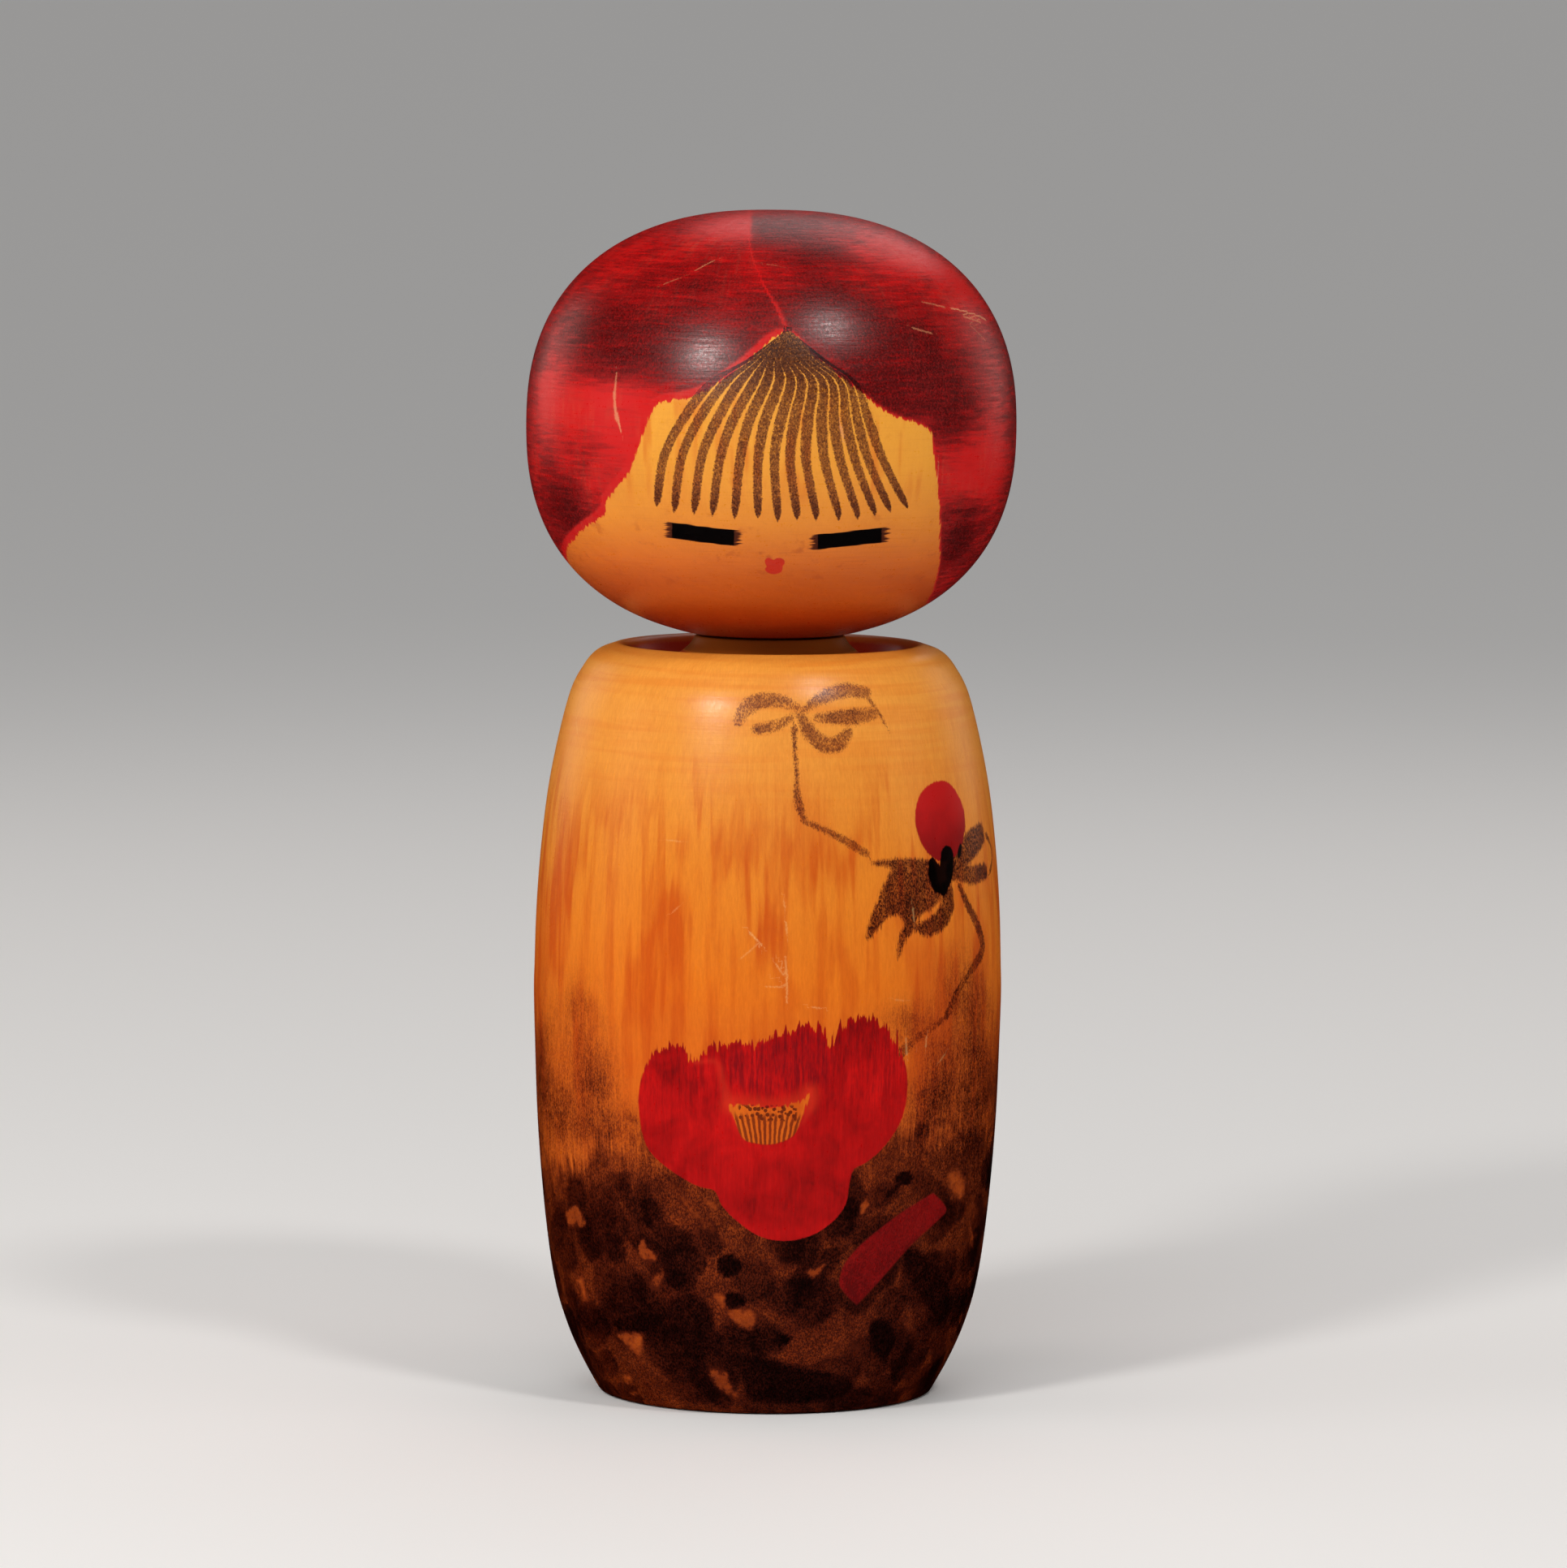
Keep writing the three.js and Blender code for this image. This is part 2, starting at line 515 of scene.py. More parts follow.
# Stretching a direction from the axis by this much gives mm round the surface.
GIRTH = 60
HEAD_GIRTH = 62
LEAST_ROUGHNESS = 0.2
SCRATCH_DEPTH = 0.04


def ink_film(n, thickness):
    """What black ink of that thickness, 0 to 1, lets through of whatever lies below it."""
    return n.colours(thickness, *INK_TONES)


def turned_wood(n, mm, base, heart):
    """Turned wood in a base colour, with faint rings round an off-centre heart, flecks and pores."""
    centre = n.add("ShaderNodeVectorMath", operation="MULTIPLY_ADD")
    n.put(mm, centre.inputs[0])
    centre.inputs[1].default_value = (1, 1, 0)
    centre.inputs[2].default_value = (*heart, 0)
    from_heart = n.add("ShaderNodeVectorMath", operation="LENGTH")
    n.put(centre.outputs[0], from_heart.inputs[0])
    warp = n.noise(mm, (0.03, 0.03, 0.012), 1, 2)
    reach = n.plus(n.times(from_heart.outputs["Value"], RINGS_PER_MM), n.times(warp, RING_WARP))
    rings = n.plus(n.math("SINE", reach), n.times(n.math("SINE", n.times(reach, 2.3)), 0.5))
    flecks = n.noise(mm, (1.4, 1.4, 0.16), 1, 2, 0.6)
    pores = n.noise(mm, (3.4, 3.4, 1.1), 1, 2, 0.65)
    cloud = n.noise(mm, (0.05, 0.05, 0.04), 1, 3, 0.6)
    shade = n.plus(
        0.5, n.times(rings, 0.02), n.swing(flecks, 0.16), n.swing(pores, 0.22), n.swing(cloud, 0.34)
    )
    return n.under(base, n.colours(shade, *WOOD_TINTS)), pores


def set_finish(n, colour, gloss, relief, shine):
    """A thin, hand-rubbed wax finish over the colour."""
    n.put(colour, n.shader.inputs["Base Color"])
    n.put(gloss, n.shader.inputs["Roughness"])
    n.put(relief, n.shader.inputs["Normal"])
    n.put(shine, n.shader.inputs["Specular IOR Level"])


# ---------------------------------------------------------------- the head

HAIR_RED = rgb(206, 12, 12)
HAIR_RED_THIN = rgb(214, 66, 46)
EYE_BLACK = rgb(8, 3, 4)
LIP_RED = rgb(206, 30, 10)
HEAD_SCRATCH = rgb(226, 150, 104)
FACE_SPAN = (195, 266)
# The face's colours from the chin up: darker towards the chin, partly a deeper stain and partly painted
# shade under the chin.
FACE_STAIN_AND_SHADE_TONES = (
    (0.0, rgb(168, 54, 6)),
    (0.10, rgb(196, 80, 14)),
    (0.22, rgb(220, 108, 26)),
    (0.42, rgb(230, 136, 38)),
    (0.7, rgb(232, 152, 46)),
    (1.0, rgb(232, 158, 52)),
)
LATHE_BROWN = rgb(186, 76, 18)
STAIN_BROWN = rgb(178, 70, 14)
BROW_AMBER = rgb(214, 104, 20)
# How far to the side and behind the wood's own heart lies from the axis, in mm.
HEAD_HEART = (14, -22)
HEAD_GRAIN_DEPTH = 0.024
HEAD_LATHE_DEPTH = 0.026
HEAD_SHINE = 0.5

# The opening in the painted hair: down the left from the parting, and up the right to it.
FACE_LEFT = [
    (3.6, 274.4), (-7, 266), (-15.5, 260), (-22, 257.4), (-28.6, 255.6), (-32.2, 247.5), (-35.6, 238.5),
    (-41, 231.5), (-42.6, 227), (-51.5, 217.5),
]
FACE_RIGHT = [
    (41.2, 208), (42.6, 218), (42.4, 227), (41.6, 235.5), (40.6, 244.5), (39, 250), (30.5, 253.4),
    (25, 257), (19.6, 261.5), (11, 268),
]
# The hem of the hair round the back: [degrees round from the front, height].
HAIR_HEM = [
    (-82, 213), (-110, 208.5), (-150, 206.5), (-180, 205.5), (-215, 206), (-250, 204.5), (-285, 203.5),
]
# The bare area is carried this far past the back and below the chin, in mm.
PAST_BACK = 20
PAST_CHIN = 40
PARTING = [
    (-12, 40, 299.4), (-8, 22, 302), (-6.2, 0, 303), (-6.0, -20, 301.4), (-5.4, -38, 293),
    (-2.4, -48, 285.5), (1.2, -54, 279.6), (3.7, -57, 274.2),
]
PARTING_WIDTHS = (1.4, 1.2, 1.0, 1.0, 0.8, 1.4)
# Where the strands of the fringe run: at each height, how far across each is.
FRINGE_TOP = (274.2, 3.0, 5.0)
FRINGE_SHOULDER = (267.4, -5.6, 13.0)
FRINGE = {
    261.9: (-14.6, -11.3, -7.9, -4.3, -1.2, 2.0, 4.9, 7.5, 10.2, 12.8, 15.0, 17.2, 19.1, 20.7),
    252.4: (-21.9, -18.0, -13.4, -9.5, -5.4, -1.5, 2.4, 5.8, 9.1, 12.6, 15.7, 18.7, 21.5, 24.3),
    242.6: (-26.7, -22.3, -17.3, -12.7, -7.6, -3.1, 0.9, 4.8, 8.7, 13.4, 17.3, 21.0, 24.2, 27.9),
    229.0: (-28.6, -24.1, -19.0, -14.5, -8.9, -3.1, 1.8, 6.6, 11.3, 17.0, 21.7, 26.1, 30.1, 34.8),
}
FRINGE_TIPS = (
    230.8, 229.4, 229.2, 228.9, 228.2, 228.5, 227.6, 228.0, 227.9, 227.8, 228.0, 228.9, 229.7, 230.6
)
# The half width of a strand at a height above its tip.
FRINGE_HALF_WIDTHS = (
    (-1.2, -0.4), (0, 0.3), (1.2, 0.8), (3.5, 1.02), (13, 1.14), (24, 1.42), (34, 1.5), (46, 1.3)
)
# How far the fringe is worked out past its ends, in mm, and past its sides, in strands.
BELOW_TIPS = 4
ABOVE_CROWN = 1.5
BESIDE = 4
OFF_FRINGE = 9.0
# Added to the count of strands: it keeps the count positive and puts each strand's middle on a half.
STRAND_SHIFT = 20.5
STRAND_EDGE = 0.12
FRINGE_INK = 0.32
# Eyes as [middle x, middle z, half length, half height, slope].
EYES = [(-16.8, 223.6, 7.8, 2.02, -0.1), (19.8, 222.7, 8.0, 1.9, 0.096)]
EYE_BRISTLES = 2.4
EYE_MARGIN = 5
EYE_LID_MARGIN = 4
EYE_DRY_INK = 0.58
LIPS = [
    (-1.4, 216.9), (-1.0, 217.7), (-0.3, 217.9), (0.5, 217.4), (1.1, 217.3), (1.7, 217.8), (2.7, 217.8),
    (3.6, 217.1), (3.6, 216.3), (3.1, 215.7), (3.1, 214.9), (2.8, 214.1), (1.9, 213.7), (0.8, 213.5),
    (-0.3, 213.8), (-1.0, 214.3), (-1.3, 215), (-0.8, 215.7), (-1.2, 216.2),
]
# The black ink over the red, and where it is thicker or thinner: [x, z, reach across, reach up, change].
HAIR_BASE = 0.54
# The ink thinned at (53, 239), on the right side, lets the red through partly for red hair there and partly
# as a painted reflection, a reddish sheen on that side.
HAIR_SPOTS = [
    (-31, 270, 21, 9, 0.66), (-12, 268, 13, 8, 0.45), (-46, 275, 13, 8, 0.42), (-22, 285, 16, 6, 0.24),
    (-46, 254, 15, 5.5, -0.95), (-35, 249, 8, 9, -0.7), (-57, 258, 7, 7, -0.45), (-50, 243, 9, 5, -0.1),
    (-53, 230, 10, 9, 0.62), (-47, 222, 6, 6, 0.5), (-43, 237, 6, 4, -0.3), (-58, 268, 6, 6, 0.3),
    (23, 272, 19, 10, 0.6), (12, 282, 12, 7, 0.42), (39, 264, 15, 9, 0.55), (46, 253, 11, 8, 0.5),
    (28, 259, 11, 7, 0.45), (37, 291, 12, 6, -0.55), (48, 285, 9, 7, -0.45), (53, 239, 13, 8, -0.85),
    (58, 247, 6, 7, -0.2), (48, 222, 8, 11, 0.62), (46, 207, 8, 6, 0.4), (-36, 293, 16, 5, -0.12),
]
RIGHT_OF_PARTING = [(1, 299, 13, 9, 0.5), (12, 293, 10, 6, 0.25)]
LEFT_OF_PARTING = [(-9, 300, 12, 9, -0.42)]
# Ink round the sides and back: [degrees round, height, half width in degrees, half height, strength].
HAIR_CLOUDS = [
    (-92, 262, 12, 12, 0.3), (-96, 226, 16, 14, 0.3), (88, 262, 14, 14, 0.3), (96, 226, 20, 14, 0.35),
    (-122, 268, 26, 15, 0.45), (-118, 240, 12, 16, -0.3), (-150, 240, 24, 18, 0.4),
    (122, 262, 24, 18, 0.45), (118, 236, 14, 10, -0.3), (150, 234, 24, 18, 0.4),
    (176, 266, 30, 15, 0.45), (-168, 222, 18, 10, -0.3), (150, 296, 50, 6, 0.2),
    (-160, 292, 40, 7, 0.25),
]
# Marks of wear: [front-view points, widths, strength].
HEAD_SCUFFS = [
    ([(-38.7, 263.4), (-39.1, 257.5)], (0.3, 0.9), 0.55),
    ([(-39.3, 258.5), (-38.6, 251.2)], (0.7, 1.0), 0.7),
    ([(-38.6, 253.2), (-37.4, 248.5)], (1.0, 0.3), 0.8),
    ([(37.6, 281.2), (43.4, 279.7)], (0.3, 0.5), 0.45),
    ([(45, 279.4), (54, 276.1)], (0.5, 0.7), 0.8),
    ([(48.4, 277.2), (52.8, 275.4)], (0.6, 0.4), 0.5),
    ([(35.1, 275), (40.2, 273.4)], (0.4, 0.3), 0.5),
    ([(-19.3, 288.8), (-14.4, 291.4)], (0.3, 0.4), 0.55),
    ([(-27.4, 285.2), (-23, 287)], (0.3, 0.3), 0.35),
    ([(50, 275), (54, 270.9)], (0.3, 0.3), 0.4),
    ([(17.2, 251.2), (17.9, 248.2)], (0.9, 0.6), 0.6),
    ([(41.9, 241.6), (41.7, 236.8)], (0.3, 0.3), 0.4),
    ([(-1.6, 290.6), (1.6, 290.2)], (0.3, 0.3), 0.25),
]


def strands(head):
    """A smooth count of the fringe's strands, their spacing, and the height above their tips."""
    count = len(FRINGE_TIPS)
    rows = {top: np.linspace(left, right, count) for top, left, right in (FRINGE_TOP, FRINGE_SHOULDER)}
    rows = np.array([(height, *across) for height, across in sorted((rows | FRINGE).items())])
    rows = spline(rows, FRINGE_STEPS)
    rows = rows[np.argsort(rows[:, 0])]
    low, high = rows[0, 0] - BELOW_TIPS, FRINGE_TOP[0] + ABOVE_CROWN
    here = np.where((head.xyz[:, 1] < 0) & (head.height > low) & (head.height < high))[0]
    spacing = np.ones(len(head.xyz))
    number = np.where(head.xyz[:, 0] > FRINGE_TOP[1], count + OFF_FRINGE, -OFF_FRINGE)
    above = np.full(len(head.xyz), -FIELD_REACH)
    for index in here:
        across = np.array([np.interp(head.height[index], rows[:, 0], rows[:, i + 1]) for i in range(count)])
        pitch = np.diff(across)
        outer = [across[0] - BESIDE * pitch[0], *across, across[-1] + BESIDE * pitch[-1]]
        at = np.interp(head.xyz[index, 0], outer, [-BESIDE, *range(count), count - 1 + BESIDE])
        number[index] = at
        spacing[index] = np.interp(at, np.arange(count - 1) + 0.5, pitch)
        above[index] = head.height[index] - np.interp(at, range(count), FRINGE_TIPS)
    return number, spacing, above


def paint_head(head):
    skin_rows, skin_length = head.skin
    turns, heights = np.array(HAIR_HEM, float).T
    hem = [np.radians(turns) * head.widest, np.interp(heights, skin_rows[:, 1], skin_length)]
    hem = np.stack(hem, 1)
    half_round = math.pi * head.widest
    left, right = head.unrolled(FACE_LEFT), head.unrolled(FACE_RIGHT)
    left_hem = hem[hem[:, 0] >= -half_round]
    right_hem = hem[hem[:, 0] <= -half_round] + [2 * half_round, 0]
    edge = spline(np.vstack([right_hem, right, left, left_hem]), CURVE_STEPS)
    behind, below = half_round + PAST_BACK, skin_length[0] - PAST_CHIN
    corners = [(-behind, edge[-1, 1]), (-behind, below), (behind, below), (behind, edge[0, 1])]
    opening = np.vstack([edge, corners])
    head.field("face", head.area(opening))

    number, spacing, above = strands(head)
    head.field("strand", number)
    head.field("strand_spacing", spacing)
    head.field("above_tip", above)
    head.field("strand_half", np.interp(above, *zip(*FRINGE_HALF_WIDTHS)))

    front = head.xyz[:, 1] < 0
    eye_side, eye_end = np.full(len(front), -FIELD_REACH), np.full(len(front), -FIELD_REACH)
    for x, z, half_length, half_height, slope in EYES:
        across = head.xyz[:, 0] - x
        side = half_height - np.abs(head.xyz[:, 2] - z - slope * across)
        end = half_length - np.abs(across)
        here = front & (np.abs(across) < half_length + EYE_MARGIN) & (side > -EYE_LID_MARGIN)
        eye_side[here], eye_end[here] = side[here], end[here]
    head.field("eye_side", eye_side)
    head.field("eye_end", eye_end)
    head.field("lips", head.painted(LIPS))

    head.lines("parting", [(spline(np.array(PARTING, float), CURVE_STEPS), PARTING_WIDTHS, 1.0)])
    head.front_lines("scuff", HEAD_SCUFFS)
    line = np.array(PARTING)
    right = ramp(head.xyz[:, 0] - np.interp(-head.xyz[:, 1], -line[:, 1], line[:, 0]), -0.6, 0.8)
    top = right * head.spots(RIGHT_OF_PARTING) + (1 - right) * head.spots(LEFT_OF_PARTING)
    ink = HAIR_BASE + head.spots(HAIR_SPOTS) + top + head.cloud(HAIR_CLOUDS)
    head.field("hair_ink", np.clip(ink, 0, 1.1))
    head.field("height", head.height)
    head.field("across", head.xyz[:, 0])


def face_wood(n, ring, mm, height):
    """Honey stain, darker towards the chin partly as a deeper stain and partly as painted shade under the
    chin, with small darker stains and faint lines from the turning.
    """
    base = n.colours(n.step(height, *FACE_SPAN), *FACE_STAIN_AND_SHADE_TONES)
    wood, _ = turned_wood(n, mm, base, HEAD_HEART)
    lathe = n.noise(ring, (4, 4, 2.4), 1, 2, 0.6)
    turnings = n.times(n.step(lathe, 0.5, 0.8), n.step(height, 232, 212, 0.1, 0.4))
    wood = n.blend(turnings, wood, LATHE_BROWN)
    stains = n.noise(mm, (0.22, 0.22, 0.3), 1, 3, 0.6)
    stained = n.times(n.step(stains, 0.58, 0.74), n.step(height, 236, 214, 0.12, 0.55))
    wood = n.blend(stained, wood, STAIN_BROWN)
    streaks = n.noise(ring, (GIRTH, GIRTH, 0.16), 0.24, 2, 0.5)
    brow = n.times(n.step(height, 228, 238), n.step(height, 264, 252))
    amber = n.times(n.step(streaks, 0.50, 0.66), brow, 0.6)
    return n.blend(amber, wood, BROW_AMBER)


def brushed_hair(n, ring, mm, face, brushing, rub):
    """Red dye, with black ink brushed round over most of it and worn thin in places."""
    fibres = n.noise(ring, (GIRTH, GIRTH, 0.1), 0.8, 3, 0.65)
    patches = n.noise(mm, (0.07, 0.07, 0.07), 1, 2, 0.5)
    thin = n.times(n.step(fibres, 0.42, 0.75), n.step(patches, 0.35, 0.7))
    red = n.blend(n.times(thin, 0.6), HAIR_RED, HAIR_RED_THIN)
    cloud = n.noise(mm, (0.06, 0.06, 0.085), 1, 3, 0.65, 0.4)
    grains = n.noise(mm, (2.1, 2.1, 1.7), 1, 2, 0.7)
    swept = n.plus(
        n.field("hair_ink"), n.swing(brushing, 0.95), n.swing(rub, 0.8), n.swing(cloud, 0.8),
        n.swing(fibres, 0.25)
    )
    off_part = n.field("parting_side")
    within = n.less(n.field("parting_half"), n.math("ABSOLUTE", off_part))
    red_line = n.times(n.step(within, -1.0, 0.3), n.step(off_part, 1.0, 0.1, 0.3, 1.0))
    rim = n.plus(face, n.times(n.step(n.field("across"), 6, -2), 1.5), n.swing(rub, 1.0))
    bare = n.less(1.0, n.most(n.times(n.step(rim, -1.2, 0.1), 0.92), n.times(red_line, 0.75)))
    level = n.math("POWER", n.step(swept, -0.1, 1.3), 1.3)
    thickness = n.times(level, bare, n.plus(1.0, n.swing(grains, 2.0)))
    return n.under(red, ink_film(n, n.times(thickness, 0.45)))


def head_material():
    n = Nodes("head_wood")
    ring = n.vector_field("ring")
    mm = n.place()
    face, height = n.field("face"), n.field("height")
    bristle = n.noise(ring, (HEAD_GIRTH, HEAD_GIRTH, 0.12), 1.1, 2, 0.6)
    fibre = n.noise(ring, (HEAD_GIRTH, HEAD_GIRTH, 0.35), 2.2, 2, 0.6)
    brushing = n.noise(ring, (4.4, 4.4, 0.75), 1.0, 3, 0.62, 0.3)
    rub = n.noise(ring, (8, 8, 1.5), 1.0, 2, 0.6)
    speckle = n.noise(mm, (1, 1, 0.8), 2.6, 2, 0.7)

    wood = face_wood(n, ring, mm, height)
    hair = brushed_hair(n, ring, mm, face, brushing, rub)
    rough = n.plus(n.swing(bristle, 2.6), n.swing(fibre, 0.9))
    colour = n.blend(n.edge("face", rough, 0.18), hair, wood)

    # the fringe: thinned ink that beads in the pores, darker towards the tips
    number, spacing, above = n.field("strand"), n.field("strand_spacing"), n.field("above_tip")
    off = n.math("ABSOLUTE", n.less(n.math("FRACT", n.plus(number, STRAND_SHIFT)), 0.5))
    crowded = n.times(spacing, n.step(above, 34, 42, 0.42, 0.6))
    half = n.math("MINIMUM", n.field("strand_half"), crowded)
    depth = n.less(half, n.times(off, spacing))
    strand = n.step(n.plus(depth, n.swing(speckle, 0.8)), -0.2, 0.24)
    first, last = -0.5, len(FRINGE_TIPS) - 0.5
    within = n.times(n.step(number, first - STRAND_EDGE, first), n.step(number, last + STRAND_EDGE, last))
    ends = n.plus(FRINGE_INK, n.times(n.step(above, 9, 0.5), 0.16), n.times(n.step(above, 26, 42), 0.26))
    strength = n.plus(ends, n.swing(speckle, 1.1), n.swing(fibre, 0.3))
    colour = n.under(colour, ink_film(n, n.times(strand, within, strength)))

    # the eyes: flat black strokes that end in dry bristles
    comb = n.noise(ring, (9, 9, 2.4), 1.0, 1, 0.5)
    side = n.step(n.plus(n.field("eye_side"), n.swing(comb, 0.5)), -0.12, 0.12)
    end = n.field("eye_end")
    solid = n.step(n.plus(end, n.swing(comb, 0.5)), -0.1, 0.15)
    frayed = n.step(n.plus(end, n.times(comb, 2.4 * EYE_BRISTLES)), 0.9, 2.2)
    dry = n.times(frayed, n.step(end, -EYE_BRISTLES - 0.4, -1.0))
    colour = n.under(colour, ink_film(n, n.times(side, dry, EYE_DRY_INK)))
    colour = n.blend(n.times(side, solid), colour, EYE_BLACK)
    lips = n.times(n.edge("lips", n.swing(speckle, 0.3), 0.14), 0.94)
    colour = n.blend(lips, colour, LIP_RED)
    scuff = n.line("scuff", n.swing(speckle, 1.0), 0.2)
    colour = n.blend(n.times(scuff, 0.8), colour, HEAD_SCRATCH)

    grain = n.noise(mm, (1.2, 1.2, 1.4), 1, 2, 0.6)
    lathe = n.noise(ring, (2, 2, 1.5), 1, 2, 0.6)
    gloss = n.plus(0.21, n.times(fibre, 0.14), n.times(rub, 0.12), n.swing(grain, 0.24), n.swing(rub, 0.14))
    relief = n.bump(n.times(scuff, -1.0), SCRATCH_DEPTH)
    relief = n.bump(n.plus(lathe, rub), HEAD_LATHE_DEPTH, relief)
    relief = n.bump(grain, HEAD_GRAIN_DEPTH, relief)
    set_finish(n, colour, n.most(gloss, LEAST_ROUGHNESS), relief, HEAD_SHINE)
    return n.material


# ---------------------------------------------------------------- the body

FLOWER = [
    (-30.6, 89), (-28.6, 92.6), (-25.5, 95.3), (-22.2, 95.2), (-20, 93), (-18.2, 90.9), (-16, 93.6),
    (-11.7, 96.2), (-6, 96.2), (0.1, 97.6), (5, 100), (10, 101.2), (14.4, 100), (16.6, 96.6),
    (18.6, 100.6), (22.6, 102.7), (27.6, 101.6), (32, 97), (34.9, 90), (35.4, 82.5), (33.8, 75.5),
    (29.6, 69.4), (25.3, 65.8), (22, 64), (21, 60.5), (20.2, 55.6), (17.4, 51.4), (12, 47.7),
    (5.2, 46.2), (-1.4, 47.3), (-7, 51), (-11, 55), (-12.9, 58.7), (-17.5, 59.9), (-24, 63.4),
    (-29.4, 68), (-31.6, 74), (-32.2, 80.5), (-31.8, 85),
]
FLOWER_HEART = [
    (-9.3, 80.4), (-7.4, 80.9), (-3.4, 80.6), (1, 80), (5.4, 80.6), (8.6, 81.6), (10.9, 83.8),
    (9.9, 80.4), (8.6, 77), (7.2, 73.6), (4.5, 71.8), (1, 70.9), (-2.4, 71.1), (-5.1, 71.8),
    (-6.6, 73.6), (-7.7, 76.4),
]
BACK_PETAL = [
    (-10.4, 92.4), (-5.9, 95), (2.3, 97.6), (8.5, 99.6), (15.6, 96.9), (16.4, 92.7), (15, 86.6),
    (10.2, 85.6), (2.4, 84.4), (-4.6, 84.6), (-8.8, 86.6),
]
# Where one petal meets another the paint is thin: [front-view path, widths, strength].
PETAL_SEAMS = [
    ([(-18.2, 91), (-12.8, 91.6), (-11.2, 87.2), (-9.4, 80.8)], (0.5, 1.2, 1.8, 2.4), 0.75),
    ([(10.6, 84.4), (11.4, 81), (8.9, 76)], (2.2, 1.4, 0.8), 0.6),
    ([(-9.3, 80.6), (-7.9, 76.4), (-6.4, 72.8)], (1.6, 0.9, 0.5), 0.5),
]
# Darker passages of the petals: [front-view outline, softness, strength].
PETAL_DARKS = [
    ([(-27, 95), (-21.4, 95.4), (-20.4, 91), (-22, 86), (-26, 86), (-29, 90)], 3.0, 0.7),
    ([(18.6, 101), (24, 103), (29.6, 100.4), (29, 95), (22, 93), (18, 95)], 3.0, 0.6),
    ([(-26, 74), (-16, 72), (-10, 64), (-16, 60.6), (-27, 66)], 4.0, 0.35),
    ([(-10, 60), (4, 64), (20, 60), (17, 52), (5, 47.4), (-8, 52)], 5.0, 0.5),
    ([(12, 74), (24, 76), (30, 72), (23, 66), (14, 67)], 4.0, 0.3),
]
BUD = [
    (41, 160), (44.6, 160.2), (47.6, 157), (49.6, 151.5), (49.5, 146), (47.4, 141.4), (43.4, 140.4),
    (39.7, 143.4), (37.5, 148), (36.9, 153), (38.2, 157.6),
]
RED_DAB = [
    (41.4, 55.8), (42.8, 55.6), (45.4, 52.4), (45.6, 50.6), (43.8, 49), (36, 42.6), (24.2, 30),
    (22.8, 29.4), (21, 31), (18.8, 34), (18.8, 36.4), (20, 40), (24.4, 45), (33.4, 51.6),
]
PAINTED_SHAPES = {
    "flower": FLOWER, "heart": FLOWER_HEART, "back_petal": BACK_PETAL, "bud": BUD, "red_dab": RED_DAB
}
# Wide strokes of ink: [field, front-view path, widths].
INK_STROKES = [
    (
        "pale_ink",
        [(-7.8, 176.2), (-5.8, 179.8), (-1.4, 181.8), (4, 181.2), (8.6, 178.8)],
        (1.8, 4.0, 3.6, 2.8, 1.0),
    ),
    ("pale_ink", [(-3, 174.6), (1.4, 175.5), (5.6, 177.6)], (2.2, 2.6, 1.2)),
    ("pale_ink", [(8.8, 179.4), (13.2, 182.3), (18.8, 184), (24, 183.4)], (1.0, 3.2, 3.8, 3.0)),
    ("pale_ink", [(12, 177.4), (18, 177.4), (23, 177.7), (26, 178.2)], (1.6, 3.2, 4.0, 2.6)),
    (
        "pale_ink",
        [(8.2, 177.6), (10.4, 173.6), (13.8, 171), (17.4, 171), (19.8, 173.6)],
        (2.2, 3.4, 3.8, 3.6, 2.2),
    ),
    ("pale_ink", [(45.3, 101), (42.4, 99.2), (36.7, 95.8), (32, 91)], (1.2, 2.2, 2.8, 2.4)),
    (
        "dark_ink",
        [(45, 133.4), (45.3, 129), (43.4, 125.6), (40, 124), (37.2, 124.8)],
        (4.2, 5.2, 5.0, 4.2, 1.8),
    ),
    ("dark_ink", [(46.4, 137.6), (48.8, 140.8), (51.4, 143.6), (53.8, 145.4)], (5.0, 6.4, 7.2, 6.0)),
    ("dark_ink", [(46.6, 137.8), (51.4, 136), (55.0, 136)], (4.2, 4.4, 4.0)),
    ("black_ink", [(45.2, 141.6), (44.9, 138), (44.3, 135.2), (44.2, 133.2)], (5.0, 5.6, 5.4, 3.0)),
    ("black_ink", [(41.4, 140.2), (42.1, 137.4), (43, 135)], (2.6, 4.8, 5.0)),
    ("black_ink", [(48.6, 143.6), (48.2, 141.4)], (1.2, 1.4)),
]
# Thin lines of ink: [front-view path, widths, strength].
INK_LINES = [
    (
        [(6.3, 175.4), (6.5, 170), (7, 164), (7.1, 158.5), (7.9, 155.2), (9, 151.9)],
        (1.5, 0.9, 0.8, 1.0, 2.1, 1.3),
        0.30,
    ),
    ([(9, 151.9), (13.3, 150.1), (18.9, 147.2), (24.8, 143.4)], (1.2, 1.6, 2.0, 1.7), 0.24),
    ([(27.4, 141.2), (32, 140.6)], (1.5, 1.7), 0.22),
    ([(24, 183.4), (25.8, 180.4), (27.9, 177.6), (29.4, 174.8)], (1.6, 1.1, 0.8, 0.4), 0.22),
    (
        [
            (48.3, 133.8), (50.6, 128.4), (53.2, 122.9), (54.5, 118), (54.2, 115.4), (52, 112.4),
            (48.1, 107), (45.2, 101),
        ],
        (1.6, 2.2, 2.8, 3.0, 2.8, 2.0, 2.2, 2.4),
        0.42,
    ),
    ([(55.4, 145), (56.8, 141.4), (57, 138), (56.4, 135.4)], (1.6, 0.8, 0.6, 1.2), 0.4),
]
